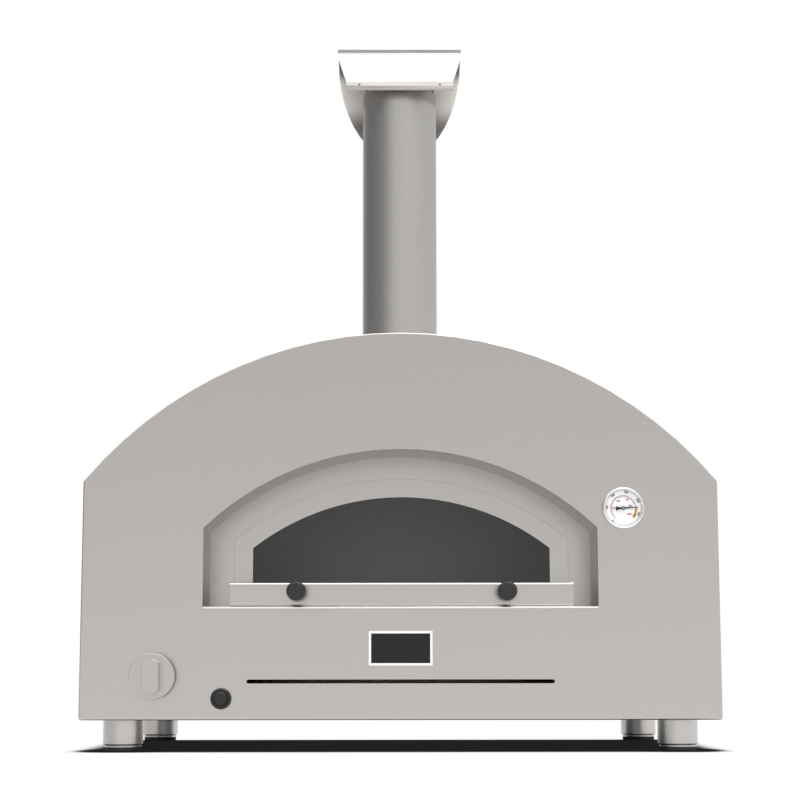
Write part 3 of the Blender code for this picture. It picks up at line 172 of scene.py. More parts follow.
def noise(wire, at, scale, detail=2, roughness=0.5):
    """Noise about 0. The scale is per metre, as one number or as one for each axis."""
    if isinstance(scale, tuple):
        stretch = {"operation": "MULTIPLY"}
        at = wire.node("ShaderNodeVectorMath", stretch, {0: at, 1: scale})
        scale = 1.0
    inputs = {"Vector": at, "Scale": scale, "Detail": detail, "Roughness": roughness}
    return wire.node("ShaderNodeTexNoise", (), inputs) - 0.5


def toned(wire, colour, tone):
    """The colour, made lighter or darker by a tone about 1."""
    inputs = {0: colour, "Scale": tone}
    return wire.node("ShaderNodeVectorMath", {"operation": "SCALE"}, inputs)


def bumped(wire, height, depth):
    """A bump of that depth in metres."""
    inputs = {"Strength": 1.0, "Distance": depth, "Height": height}
    return wire.node("ShaderNodeBump", (), inputs)


def rolled_steel(name, colour, stain, roughness):
    """Mill sheet with a cloudy oxide stain."""
    made, wire, at = new_material(name)
    clouds = noise(wire, at, 9, 4)
    scratches = noise(wire, at, ROLLING_MARKS)
    stained = clouds.between(-0.05, 0.22).mix(colour, stain)
    tone = scratches * 0.14 + clouds * 0.2 + 1
    dull = clouds * 0.3 + scratches * 0.1 + roughness
    normal = bumped(wire, scratches, MARK_DEPTH)
    surface(wire, toned(wire, stained, tone), dull, ROLLED_METAL, normal)
    return made


def joined_faces(node):
    """The node's solid as a bmesh, with its triangles joined back into flat faces."""
    faces = bmesh.new()
    faces.from_mesh(frame["nodes"][node].data)
    bmesh.ops.remove_doubles(faces, verts=faces.verts, dist=SAME_POINT)
    bmesh.ops.dissolve_limit(
        faces, angle_limit=FLAT_TURN, verts=faces.verts, edges=faces.edges
    )
    return faces


def as_mesh(faces, name):
    """Ends a bmesh in a mesh of that name."""
    mesh = bpy.data.meshes.new(name)
    faces.to_mesh(mesh)
    faces.free()
    return mesh


def depth_behind(loop):
    """How far the loop's face reaches in from the middle of its edge."""
    start = loop.vert.co
    end = loop.link_loop_next.vert.co
    along = (end - start).normalized()
    inward = loop.face.normal.cross(along)
    middle = (start + end) / 2
    nearest = math.inf
    for other in loop.face.loops:
        one = other.vert.co - middle
        two = other.link_loop_next.vert.co - middle
        before, after = one.dot(along), two.dot(along)
        if other != loop and before * after <= 0 and before != after:
            depth = one.lerp(two, before / (before - after)).dot(inward)
            if depth > 0:
                nearest = min(nearest, depth)
    return nearest


def fold_edges(faces, radius, top=math.inf):
    """Rounds the edges between two wide faces, which are where a sheet was folded."""
    for inside, width in ((False, radius), (True, radius - SHEET)):
        found = []
        for edge in faces.edges:
            if len(edge.link_faces) != 2 or edge.calc_face_angle() < EDGE_TURN:
                continue
            wide = all(depth_behind(loop) > WIDE_FACE for loop in edge.link_loops)
            low = max(vert.co.z for vert in edge.verts) < top
            if wide and low and edge.is_convex != inside:
                found.append(edge)
        if found and width > 0:
            bmesh.ops.bevel(
                faces,
                geom=found,
                offset=width,
                segments=FOLD_SEGMENTS,
                profile=0.5,
                affect="EDGES",
            )


def add_piece(name, mesh, material, body="oven"):
    """Puts a piece on its body. Small faces may be part of a curve, and are smooth."""
    for face in mesh.polygons:
        face.use_smooth = len(face.vertices) <= 4
    made = bpy.data.objects.new(name, mesh)
    bpy.context.scene.collection.objects.link(made)
    mesh.materials.append(material)
    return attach(made, body)


def round_edges(piece, width):
    """Breaks the sharp edges, as a file or a tumbler does, and keeps flat faces flat."""
    bevel = piece.modifiers.new("rounding", "BEVEL")
    bevel.width = width
    bevel.segments = 2
    bevel.limit_method = "ANGLE"
    bevel.angle_limit = EDGE_TURN
    weighted = piece.modifiers.new("flat_faces", "WEIGHTED_NORMAL")
    weighted.mode = "FACE_AREA"
    return piece


def take_slot(piece):
    """Returns the piece as it is."""
    return piece


def skin(node, material, rounding=ROUNDING, folds=()):
    """A piece in the node's own shape, with rounded folds and edges, that stands for it.

    A fold is its radius, or its radius and the height that it lies below.
    """
    faces = joined_faces(node)
    for fold in folds:
        fold_edges(faces, *fold)
    mesh = as_mesh(faces, node + "_skin")
    made = add_piece(node + "_skin", mesh, material, frame["nodes"][node]["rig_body"])
    round_edges(made, rounding)
    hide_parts(node)
    return take_slot(made)


def carried(material, *nodes):
    """Gives nodes whose solids are right as they are the finish of the real piece."""
    for node in nodes:
        mesh = frame["nodes"][node].data
        mesh.materials.clear()
        mesh.materials.append(material)


rolled = rolled_steel("rolled_steel", ROLLED_GREY, SCALE_BROWN, ROLLED_DULLNESS)
skin("base_tray", rolled, folds=[(SHEET_FOLD,)])
carried(rolled, "hearth_deck")


# Feet: turned stainless steel with a shallow groove and a ring above a black rubber pad.
# Each has a stud that goes through the base tray, with a zinc-plated nut on top of it.

FOOT_STEEL = (0.620, 0.598, 0.578)
FOOT_DULLNESS = 0.30
FOOT_GRAIN = (8, 8, 1500)
FOOT_ROUNDING = 0.0005
PAD_BLACK = (0.036, 0.036, 0.036)
PAD_DULLNESS = 0.75
ZINC = (0.56, 0.56, 0.55)
ZINC_DULLNESS = 0.28
ZINC_GRAIN = (300, 300, 300)
BRUSH_DEPTH = 0.000003
MOULD_TEXTURE = 900
MOULD_DEPTH = 0.00005
NUT_ACROSS_CORNERS = 0.0185
NUT_HEIGHT = 0.008
NUT_BORE = 0.0052
NUT_STEPS = 24
NUT_LIFT = 0.0018
NUT_ROUNDING = 0.0006
CORNERS = ("front_left", "front_right", "rear_left", "rear_right")


def brushed_steel(name, colour, roughness, grain):
    """Stainless steel brushed one way. The grain is its changes per metre on each axis."""
    made, wire, at = new_material(name)
    strokes = noise(wire, at, grain, 3, 0.7)
    clouds = noise(wire, at, 2.5, 3)
    handled = noise(wire, at, 14, 4, 0.6)
    tone = strokes * 0.03 + clouds * 0.03 + handled * 0.01 + 1
    dull = strokes * 0.035 + handled * 0.03 + clouds * 0.03 + roughness
    normal = bumped(wire, strokes, BRUSH_DEPTH)
    surface(wire, toned(wire, colour, tone), dull, 1.0, normal)
    return made


def black_compound(name, colour, roughness, scale=MOULD_TEXTURE, depth=MOULD_DEPTH):
    """Black rubber or plastic with a fine moulded texture and a little dust."""
    made, wire, at = new_material(name)
    texture = noise(wire, at, scale)
    dust = noise(wire, at, 40, 4, 0.65)
    tone = texture * 0.3 + dust.between(0.05, 0.3, 0.0, 0.9) + 1
    dull = roughness + dust * 0.15
    surface(wire, toned(wire, colour, tone), dull, 0.0, bumped(wire, texture, depth))
    return made


def hexagon_nut(name, place, material):
    """A nut whose hole is cut in a fan of faces between its hexagon and its bore."""
    faces = bmesh.new()
    rings = []
    for height in (0, NUT_HEIGHT):
        for bore in (False, True):
            ring = []
            for step in range(NUT_STEPS):
                angle = 2 * math.pi * step / NUT_STEPS
                side = (angle % (math.pi / 3)) - math.pi / 6
                reach = NUT_ACROSS_CORNERS / 2 * math.cos(math.pi / 6) / math.cos(side)
                radius = NUT_BORE if bore else reach
                point = (radius * math.cos(angle), radius * math.sin(angle), height)
                ring.append(faces.verts.new(point))
            rings.append(ring)
    low_out, low_in, high_out, high_in = rings
    around = (low_in, low_out, high_out, high_in, low_in)
    for one, two in zip(around, around[1:]):
        for step in range(NUT_STEPS):
            following = (step + 1) % NUT_STEPS
            faces.faces.new((one[step], one[following], two[following], two[step]))
    bmesh.ops.recalc_face_normals(faces, faces=faces.faces)
    bmesh.ops.translate(faces, vec=place, verts=faces.verts)
    nut = add_piece(name, as_mesh(faces, name), material)
    return round_edges(nut, NUT_ROUNDING)


turned_steel = brushed_steel("turned_steel", FOOT_STEEL, FOOT_DULLNESS, FOOT_GRAIN)
pad_rubber = black_compound("pad_rubber", PAD_BLACK, PAD_DULLNESS)
plated = brushed_steel("zinc_plated_steel", ZINC, ZINC_DULLNESS, ZINC_GRAIN)
nut_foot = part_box("base_tray")[0].z + NUT_LIFT
for corner in CORNERS:
    skin("foot_" + corner, turned_steel, FOOT_ROUNDING)
    skin("foot_pad_" + corner, pad_rubber, FINE_ROUNDING)
    foot_low, foot_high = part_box("foot_" + corner)
    middle = (foot_low + foot_high) / 2
    hexagon_nut("foot_nut_" + corner, (middle.x, middle.y, nut_foot), plated)


# Chamber: a rolled steel liner under a thick blanket of ceramic wool, closed at the back by
# a plate and a stiff board. The fire has left the liner brown, and darker towards the top.

WOOL_WHITE = (0.80, 0.785, 0.73)
WOOL_DULLNESS = 0.95
FIRED_DULLNESS = 0.5
FIRED_METAL = 0.8
SOOT = (0.045, 0.038, 0.033)
SOOT_START = 0.22
SOOT_END = 0.5
SCALE_DEPTH = 0.0001
FIBRES = (420, 90, 420)
FIBRE_DEPTH = 0.002


def fired_steel():
    """Steel that the fire has browned and sooted, most of all high in the chamber."""
    made, wire, at = new_material("fired_steel")
    height = at.part(2)
    patches = noise(wire, at, 7, 5, 0.6)
    fine = noise(wire, at, 120, 3)
    sooted = (height + patches * 0.35).between(SOOT_START, SOOT_END)
    colour = sooted.mix(SCALE_BROWN, SOOT)
    tone = fine * 0.5 + 1
    dull = sooted * 0.25 + fine * 0.1 + FIRED_DULLNESS
    metal = FIRED_METAL - sooted * 0.6
    normal = bumped(wire, fine, SCALE_DEPTH)
    surface(wire, toned(wire, colour, tone), dull, metal, normal)
    return made


def ceramic_wool():
    """A felted blanket of short fibres."""
    made, wire, at = new_material("ceramic_wool")
    fibres = noise(wire, at, FIBRES, 5, 0.7)
    lumps = noise(wire, at, 30, 3)
    tone = fibres * 0.35 + lumps * 0.12 + 1
    normal = bumped(wire, fibres + lumps, FIBRE_DEPTH)
    surface(wire, toned(wire, WOOL_WHITE, tone), WOOL_DULLNESS, 0.0, normal)
    return made


fired = fired_steel()
wool = ceramic_wool()
carried(fired, "chamber_back", "chamber_liner")
carried(wool, "dome_insulation", "rear_insulation", "floor_insulation")


# Hearth: two cast stone tiles, sandy and pitted, with flour and scorch marks where pizzas
# have been. Their top edges are worn round.

STONE = (0.56, 0.465, 0.35)
SCORCH = (0.13, 0.095, 0.07)
FLOUR = (0.74, 0.70, 0.63)
STONE_DULLNESS = 0.9
PIT_DEPTH = 0.0006
WORN_EDGE = 0.0015


def hearth_stone():
    """Cast stone: scorched in patches, dusted with flour and full of small pits."""
    made, wire, at = new_material("hearth_stone")
    grit = noise(wire, at, 420, 4, 0.75)
    patches = noise(wire, at, 13, 5, 0.6)
    dusting = noise(wire, at, 26, 6, 0.75)
    base = patches.between(0.06, 0.24).mix(STONE, SCORCH)
    floured = dusting.between(0.12, 0.3, 0.0, 0.6).mix(base, FLOUR)
    tone = grit * 0.5 + 1
    pits = grit.between(-0.3, -0.08)
    normal = bumped(wire, pits, PIT_DEPTH)
    surface(wire, toned(wire, floured, tone), STONE_DULLNESS, 0.0, normal)
    return made


stone = hearth_stone()
for node in ("hearth_tile_left", "hearth_tile_right"):
    skin(node, stone, WORN_EDGE)


# Burner and gas train: a steel tube in a folded channel along the left of the stone, fed
# through a brass valve by soft copper pipe. The hose isn't part of the oven.

BRASS = (0.66, 0.47, 0.20)
BRASS_DULLNESS = 0.28
COPPER = (0.72, 0.40, 0.26)
COPPER_DULLNESS = 0.25
DRAWN_DEPTH = 0.00003
RUBBER_BLACK = (0.022, 0.022, 0.022)
RUBBER_DULLNESS = 0.55
CERAMIC_WHITE = (0.82, 0.80, 0.74)
CERAMIC_DULLNESS = 0.2
GLAZE = 0.4
VALVE_ROUNDING = 0.0010
PORT_RADIUS = 0.0011
PORT_FLARE = 1.6
PORT_PITCH = 0.012
PORT_STEPS = 8
PORT_LEAN = math.radians(50)
BARE_PITCHES = 6


def drawn_metal(name, colour, roughness):
    """Brass or copper, tarnished in patches."""
    made, wire, at = new_material(name)
    patches = noise(wire, at, 60, 4, 0.6)
    marks = noise(wire, at, 700)
    tone = 1 + marks * 0.1 - patches.between(0.0, 0.3, 0.0, 0.45)
    dull = roughness + patches * 0.3 + marks * 0.1
    normal = bumped(wire, marks, DRAWN_DEPTH)
    surface(wire, toned(wire, colour, tone), dull, 1.0, normal)
    return made


def glazed_ceramic():
    """White ceramic with a shiny glaze over fine specks."""
    made, wire, at = new_material("glazed_ceramic")
    specks = noise(wire, at, 800, 3)
    tone = specks * 0.15 + 1
    colour = toned(wire, CERAMIC_WHITE, tone)
    surface(wire, colour, CERAMIC_DULLNESS, 0.0, Coat_Weight=GLAZE)
    return made


def burner_ports():
    """The row of gas ports along the inner side of the burner, as short dark sleeves."""
    low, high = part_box("burner_tube")
    radius = (high.z - low.z) / 2
    middle = (low + high) / 2
    start, end = low.y + BARE_PITCHES * PORT_PITCH, high.y - PORT_PITCH
    count = int((end - start) / PORT_PITCH)
    faces = bmesh.new()
    for index in range(count):
        place = Matrix.Translation((middle.x, start + index * PORT_PITCH, middle.z))
        lean = Matrix.Rotation(PORT_LEAN, 4, "Y")
        out = Matrix.Translation((0, 0, radius))
        bmesh.ops.create_cone(
            faces,
            cap_ends=True,
            segments=PORT_STEPS,
            radius1=PORT_RADIUS * PORT_FLARE,
            radius2=PORT_RADIUS,
            depth=PORT_RADIUS,
            matrix=place @ lean @ out,
        )
    return as_mesh(faces, "burner_ports")


def sprung(node, material):
    """A spring in the node's own shape, smooth shaded, standing apart from the bodies."""
    mesh = as_mesh(joined_faces(node), node + "_skin")
    mesh.materials.append(material)
    for face in mesh.polygons:
        face.use_smooth = True
    spring = bpy.data.objects.new(node + "_skin", mesh)
    bpy.context.scene.collection.objects.link(spring)
    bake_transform(spring)
    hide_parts(node)
    return take_slot(spring)


brass = drawn_metal("brass", BRASS, BRASS_DULLNESS)
copper = drawn_metal("copper", COPPER, COPPER_DULLNESS)
soft_black = black_compound("soft_black", RUBBER_BLACK, RUBBER_DULLNESS)
carried(fired, "burner_tube", "burner_channel")
take_slot(add_piece("burner_ports", burner_ports(), soft_black))
skin("valve_body", brass, VALVE_ROUNDING)
skin("gas_inlet_fitting", brass)
carried(brass, "valve_plug")
carried(copper, "gas_inlet_pipe", "gas_feed_pipe", "thermocouple")
carried(rolled, "valve_bracket", "valve_spindle")
sprung("valve_spring", plated)
sprung("igniter_spring", plated)
carried(glazed_ceramic(), "spark_electrode")
carried(soft_black, "spark_lead", "igniter_nut")


# Outer shell: pressed front and rear pans over a wrapped casing, all in stainless sheet
# brushed from side to side. Pan-head screws hold the rear pan, and none show in front.

STEEL = (0.570, 0.543, 0.521)
STEEL_DULLNESS = 0.28
SHELL_GRAIN = (3, 900, 900)
PANEL_FOLD = 0.0025
LOW_FOLD = 0.004
LOW_FOLD_REACH = 0.02
SCREW_RADIUS = 0.0042
SCREW_HEIGHT = 0.0022
SCREW_WALL_SHARE = 0.35
SCREW_ROUNDNESS = 0.6
CROSS_REACH = 0.0024
CROSS_HALF_WIDTH = 0.00045
CROSS_DEPTH = 0.0013
SCREW_STEPS = 24
SCREW_RINGS = 5
REAR_SCREW_INSET = 0.014
SIDE_SCREW_HEIGHTS = (0.075, 0.185, 0.295, 0.400)
ARCH_RISE = 0.234
ARCH_SCREWS = 7
ARCH_SCREW_SHARE = 0.80
BASE_SCREWS = 5
BASE_SCREW_SHARE = 0.62


def turned_mesh(name, profile, steps):
    """A closed mesh turned about local Z. The profile is in radius and height."""
    faces = bmesh.new()
    rings = []
    for radius, height in profile:
        if radius == 0:
            rings.append([faces.verts.new((0, 0, height))])
            continue
        angles = [2 * math.pi * step / steps for step in range(steps)]
        ring = [(radius * math.cos(a), radius * math.sin(a), height) for a in angles]
        rings.append([faces.verts.new(point) for point in ring])
    for lower, upper in zip(rings, rings[1:]):
        for step in range(steps):
            following = (step + 1) % steps
            corners = [lower[step % len(lower)], lower[following % len(lower)]]
            corners += [upper[following % len(upper)], upper[step % len(upper)]]
            faces.faces.new(list(dict.fromkeys(corners)))
    bmesh.ops.recalc_face_normals(faces, faces=faces.faces)
    return as_mesh(faces, name)


def screw_mesh():
    """A domed head with a cross sunk in it, standing on local z = 0."""
    profile = [(0, 0), (SCREW_RADIUS, 0)]
    for ring in range(SCREW_RINGS):
        angle = math.pi / 2 * ring / SCREW_RINGS
        reach = SCREW_RADIUS * math.cos(angle) ** SCREW_ROUNDNESS
        rise = SCREW_WALL_SHARE + (1 - SCREW_WALL_SHARE) * math.sin(angle)
        profile.append((reach, SCREW_HEIGHT * rise))
    profile.append((0, SCREW_HEIGHT))
    head = bpy.data.objects.new("head", turned_mesh("screw_head", profile, SCREW_STEPS))
    cutters = []
    arms = ((CROSS_REACH, CROSS_HALF_WIDTH), (CROSS_HALF_WIDTH, CROSS_REACH))
    for long_x, long_y in arms:
        faces = bmesh.new()
        bmesh.ops.create_cube(faces, size=2)
        bmesh.ops.scale(faces, vec=(long_x, long_y, CROSS_DEPTH), verts=faces.verts)
        bmesh.ops.translate(faces, vec=(0, 0, SCREW_HEIGHT), verts=faces.verts)
        cutters.append(bpy.data.objects.new("cross", as_mesh(faces, "cross")))
    for obj in (head, *cutters):
        bpy.context.scene.collection.objects.link(obj)
    for cutter in cutters:
        cut = head.modifiers.new("cross", "BOOLEAN")
        cut.operation = "DIFFERENCE"
        cut.solver = "EXACT"
        cut.object = cutter
    graph = bpy.context.evaluated_depsgraph_get()
    mesh = bpy.data.meshes.new_from_object(head.evaluated_get(graph))
    for obj in (head, *cutters):
        bpy.data.objects.remove(obj)
    return mesh


def facing(direction):
    """The turn that points local Z along the direction."""
    return Vector(direction).to_track_quat("Z", "Y").to_matrix().to_4x4()


def fasten(name, mesh, place, direction, material, body="oven"):
    """A copy of a fastener's mesh, put in its place."""
    own = mesh.copy()
    own.transform(Matrix.Translation(place) @ facing(direction))
    return add_piece(name, own, material, body)


steel = brushed_steel("brushed_steel", STEEL, STEEL_DULLNESS, SHELL_GRAIN)
low_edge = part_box("front_panel")[0].z + LOW_FOLD_REACH
for node in ("front_panel", "rear_panel"):
    skin(node, steel, FINE_ROUNDING, folds=[(LOW_FOLD, low_edge), (PANEL_FOLD,)])
skin("casing", steel)

rear_low, rear_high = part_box("rear_panel")
screw = screw_mesh()
side_x = rear_high.x - REAR_SCREW_INSET
rear_screws = [(side * side_x, z) for side in (-1, 1) for z in SIDE_SCREW_HEIGHTS]
arch_radius = (rear_high.x**2 + ARCH_RISE**2) / (2 * ARCH_RISE)
arch_centre = rear_high.z - arch_radius
arch_half_turn = math.asin(ARCH_SCREW_SHARE * rear_high.x / arch_radius)
reach = arch_radius - REAR_SCREW_INSET
for index in range(ARCH_SCREWS):
    angle = arch_half_turn * (2 * index / (ARCH_SCREWS - 1) - 1)
    rear_screws.append((reach * math.sin(angle), arch_centre + reach * math.cos(angle)))
for index in range(BASE_SCREWS):
    share = BASE_SCREW_SHARE * (2 * index / (BASE_SCREWS - 1) - 1)
    rear_screws.append((side_x * share, rear_low.z + REAR_SCREW_INSET))
for index, (x, z) in enumerate(rear_screws):
    fasten(f"rear_screw_{index + 1}", screw, (x, rear_high.y, z), (0, 1, 0), plated)


# Mouth: a deep arched recess lined with a bent strip, a flat frame at its back and a sill
# whose front edge turns down in front of the panel, with a painted highlight on its bend.

# A painted highlight, for the light on the bends of the sill and of the handle bar.
EDGE_STEEL = (0.93, 0.92, 0.905)
MOUTH_STEEL = (0.575, 0.549, 0.527)
LINING_STEEL = (0.455, 0.434, 0.418)
LINING_DULLNESS = 0.34
EDGE_DULLNESS = 0.2
MOUTH_GRAIN = (5, 900, 900)
FRONTWARD = -0.5

mouth_steel = brushed_steel("mouth_steel", MOUTH_STEEL, STEEL_DULLNESS, MOUTH_GRAIN)
lining_steel = brushed_steel("lining_steel", LINING_STEEL, LINING_DULLNESS, MOUTH_GRAIN)
painted_highlight_edge = brushed_steel("painted_highlight_edge", EDGE_STEEL, EDGE_DULLNESS, MOUTH_GRAIN)
skin("mouth_surround", lining_steel)
skin("throat_frame", mouth_steel, FINE_ROUNDING)
sill = skin("sill_plate", mouth_steel, FINE_ROUNDING)
sill.data.materials.append(painted_highlight_edge)
panel_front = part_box("front_panel")[0].y
# The sill's forward faces in front of the panel take the painted highlight.
for face in sill.data.polygons:
    if face.normal.y < FRONTWARD and face.center.y < panel_front:
        face.material_index = 1


# Nameplate: a small pressed plate on the front, enamelled white on its raised rim and black
# on the field inside it, which is left blank.

FIELD_BLACK = (0.010, 0.011, 0.012)
RIM_WHITE = (0.93, 0.93, 0.92)
BLACK_SHINE = 0.3
ENAMEL_DULLNESS = 0.3
RIPPLE_DEPTH = 0.00005
FIELD_INSET = 0.00315
FIELD_DEPTH = 0.0001


def enamel(name, colour, shine=0.5):
    """Fired enamel, with a faint ripple in its gloss."""
    made, wire, at = new_material(name)
    ripple = noise(wire, at, 160, 3)
    dull = ENAMEL_DULLNESS + ripple * 0.15
    tone = ripple * 0.06 + 1
    normal = bumped(wire, ripple, RIPPLE_DEPTH)
    surface(wire, toned(wire, colour, tone), dull, 0.0, normal, Specular_IOR_Level=shine)
    return made


plate = skin("nameplate", enamel("white_enamel", RIM_WHITE), FINE_ROUNDING)
plate.data.materials.append(enamel("black_enamel", FIELD_BLACK, BLACK_SHINE))
plate_low, plate_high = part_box("nameplate")
for face in plate.data.polygons:
    x, y, z = face.center
    in_width = plate_low.x + FIELD_INSET < x < plate_high.x - FIELD_INSET
    in_height = plate_low.z + FIELD_INSET < z < plate_high.z - FIELD_INSET
    sunk_front = face.normal.y < FRONTWARD and y > plate_low.y + FIELD_DEPTH
    if in_width and in_height and sunk_front:
        face.material_index = 1


# Flue: a rolled and welded stainless pipe, brushed along its length, in a short collar on
# top of the casing. The weld shows as a low bead down its back.

FLUE_STEEL = (0.545, 0.527, 0.509)
# Heat tint and painted shade of the visor, darkening the pipe near its top.
HEAT_TINT_AND_SHADE = (0.375, 0.355, 0.337)
FLUE_DULLNESS = 0.33
FLUE_GRAIN = (700, 700, 3)
DEEP_BRUSH_DEPTH = 0.000005
TINT_AND_SHADE_REACH = 0.028
TINT_AND_SHADE_FULL = 0.013
BEAD_RADIUS = 0.0016
BEAD_TURN = math.radians(35)
BEAD_STEPS = 90
BEAD_SIDES = 8
BEAD_SWELL = 0.12
BEAD_RIPPLE = 2.1


def flue_finish(top):
    """Brushed steel, heat tinted, duller and painted darker for the visor's shade near its
    top.
    """
    made, wire, at = new_material("flue_steel")
    height = at.part(2)
    strokes = noise(wire, at, FLUE_GRAIN, 3, 0.7)
    clouds = noise(wire, at, 2.5, 3)
    # Heat tint and painted shade of the visor, fading in below the open top.
    tint_and_shade = height.between(top - TINT_AND_SHADE_REACH, top - TINT_AND_SHADE_FULL)
    tone = strokes * 0.03 + clouds * 0.03 + 1
    dull = strokes * 0.035 + clouds * 0.03 + tint_and_shade * 0.25 + FLUE_DULLNESS
    colour = tint_and_shade.mix(FLUE_STEEL, HEAT_TINT_AND_SHADE)
    normal = bumped(wire, strokes, DEEP_BRUSH_DEPTH)
    surface(wire, toned(wire, colour, tone), dull, 1.0, normal)
    return made


def weld_bead(foot, top, radius):
    """A half-sunk ribbon of weld with the ripples of its puddles."""
    faces = bmesh.new()
    rings = []
    centre = Vector((radius * math.sin(BEAD_TURN), radius * math.cos(BEAD_TURN), 0))
    outward = centre.normalized()
    sideways = Vector((centre.y, -centre.x, 0)).normalized()
    for step in range(BEAD_STEPS + 1):
        height = foot + (top - foot) * step / BEAD_STEPS
        swell = BEAD_RADIUS * (1 + BEAD_SWELL * math.sin(step * BEAD_RIPPLE))
        ring = []
        for side in range(BEAD_SIDES):
            angle = 2 * math.pi * side / BEAD_SIDES
            out = outward * math.cos(angle) * swell / 2
            across = sideways * math.sin(angle) * swell
            ring.append(faces.verts.new(centre + out + across + Vector((0, 0, height))))
        rings.append(ring)
    for lower, upper in zip(rings, rings[1:]):
        for side in range(BEAD_SIDES):
            following = (side + 1) % BEAD_SIDES
            faces.faces.new((lower[side], lower[following], upper[following], upper[side]))
    faces.faces.new(rings[0][::-1])
    faces.faces.new(rings[-1])
    return as_mesh(faces, "flue_weld")


flue_steel = flue_finish(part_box("flue_pipe")[1].z)
skin("flue_pipe", flue_steel, FINE_ROUNDING)
skin("flue_collar", flue_steel, FINE_ROUNDING)
pipe_low, pipe_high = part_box("flue_pipe")
pipe_middle = (pipe_low + pipe_high) / 2
bead_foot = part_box("flue_collar")[1].z + BEAD_RADIUS
bead_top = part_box("cowl_back_plate")[0].z - 3 * BEAD_RADIUS
bead = weld_bead(bead_foot, bead_top, (pipe_high.x - pipe_low.x) / 2)
bead.transform(Matrix.Translation((0, pipe_middle.y, 0)))
take_slot(add_piece("flue_weld", bead, flue_steel))


# Cowl: a flat shield behind the pipe and a sloping visor over it, with a folded lip in
# front. Two plates hold the lip to the pipe, and blind rivets join the sheets. Shade is
# painted across the lip and on the shield low down and under the visor, with a painted
# sheen in the band between.

RIVET_RADIUS = 0.0036
RIVET_HEIGHT = 0.0013
RIVET_DOME = ((0, 0), (1, 0), (0.97, 0.4), (0.8, 0.8), (0.5, 1))
RIVET_EYE = 0.0012
EYE_FLOOR = 0.3
VISOR_RIVET_SHARE = 0.55
RIVET_X = 0.0678
RIVET_LIFT = 0.0102
RIVET_SETBACK = 0.0017
VISOR_RIVET_FACING = (0, -1, 0.45)
SHIELD_RIVET_X = 0.022
UPPER_RIVET_DROP = 0.012
LOWER_RIVET_LIFT = 0.03
COWL_DULLNESS = 0.30
# Painted sheen and painted shade on the shield, and the plain grey of its top strip.
SHIELD_PAINTED_SHEEN = (0.97, 0.96, 0.945)
SHIELD_PAINTED_SHADE = (0.30, 0.295, 0.29)
SHIELD_PAINTED_TOP_SHADE = (0.27, 0.265, 0.26)
STRIP_STEEL = (0.45, 0.447, 0.443)
STRIP_HEIGHT = 0.0065
STRIP_BLUR = 0.0002
SHEEN_SHARES = (0.28, 0.49)
SHADED_SHARES = (0.66, 0.80)
# Painted shade across the visor's lip, near plain steel at its very edge.
LIP_PAINTED_SHADE = (0.235, 0.226, 0.218)
LIP_EDGE_STEEL = (0.54, 0.518, 0.50)
LIP_EDGE_RISES = (0.003, 0.0065)
LIP_SHADE_RISES = (0.008, 0.021)


def painted_shield_steel(low, high):
    """Brushed steel painted with shade low down and under the visor, and a sheen between."""
    made, wire, at = new_material("painted_shield_steel")
    height = at.part(2)
    strokes = noise(wire, at, SHELL_GRAIN, 3, 0.7)
    clouds = noise(wire, at, 12, 4)
    span = high.z - low.z
    climb = height + clouds * 0.012
    painted_sheen = climb.between(*(low.z + share * span for share in SHEEN_SHARES))
    shaded = climb.between(*(low.z + share * span for share in SHADED_SHARES))
    strip = height.between(high.z - STRIP_HEIGHT, high.z - STRIP_HEIGHT + STRIP_BLUR)
    # Painted shade low down and under the visor, a painted sheen between, plain grey on top.
    plain = shaded.mix(painted_sheen.mix(SHIELD_PAINTED_SHADE, SHIELD_PAINTED_SHEEN), SHIELD_PAINTED_TOP_SHADE)
    colour = strip.mix(plain, STRIP_STEEL)
    dull = strokes * 0.06 + clouds * 0.05 + COWL_DULLNESS
    tone = strokes * 0.05 + clouds * 0.06 + 1
    normal = bumped(wire, strokes, DEEP_BRUSH_DEPTH)
    surface(wire, toned(wire, colour, tone), dull, 1.0, normal)
    return made


def visor_finish(foot):
    """Brushed steel with a painted shade across the lip, for the shading of its fold."""
    made, wire, at = new_material("visor_steel")
    height = at.part(2)
    strokes = noise(wire, at, SHELL_GRAIN, 3, 0.7)
    clouds = noise(wire, at, 14, 3)
    climb = height + clouds * 0.003
    edge = climb.between(*(foot + rise for rise in LIP_EDGE_RISES))
    above = climb.between(*(foot + rise for rise in LIP_SHADE_RISES))
    # Painted shade: near plain steel at the lip's edge, dark across the lip, plain above.
    colour = above.mix(edge.mix(LIP_EDGE_STEEL, LIP_PAINTED_SHADE), STEEL)
    tone = strokes * 0.03 + clouds * 0.03 + 1
    dull = strokes * 0.035 + COWL_DULLNESS
    normal = bumped(wire, strokes, BRUSH_DEPTH)
    surface(wire, toned(wire, colour, tone), dull, 1.0, normal)
    return made


def rivet_mesh(share=1.0):
    """A low dome with the hollow that its broken stem leaves."""
    profile = [(RIVET_RADIUS * reach, RIVET_HEIGHT * rise) for reach, rise in RIVET_DOME]
    sunk = RIVET_HEIGHT * EYE_FLOOR
    profile += [(RIVET_EYE, RIVET_HEIGHT), (RIVET_EYE, sunk), (0, sunk)]
    sized = [(radius * share, height * share) for radius, height in profile]
    return turned_mesh("rivet", sized, SCREW_STEPS)


cowl_steel = brushed_steel("cowl_steel", STEEL, COWL_DULLNESS, SHELL_GRAIN)
shield_low, shield_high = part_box("cowl_back_plate")
visor_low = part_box("cowl_visor")[0]
skin("cowl_back_plate", painted_shield_steel(shield_low, shield_high))
skin("cowl_visor", visor_finish(visor_low.z), FINE_ROUNDING)
carried(cowl_steel, "cowl_bracket_left", "cowl_bracket_right")

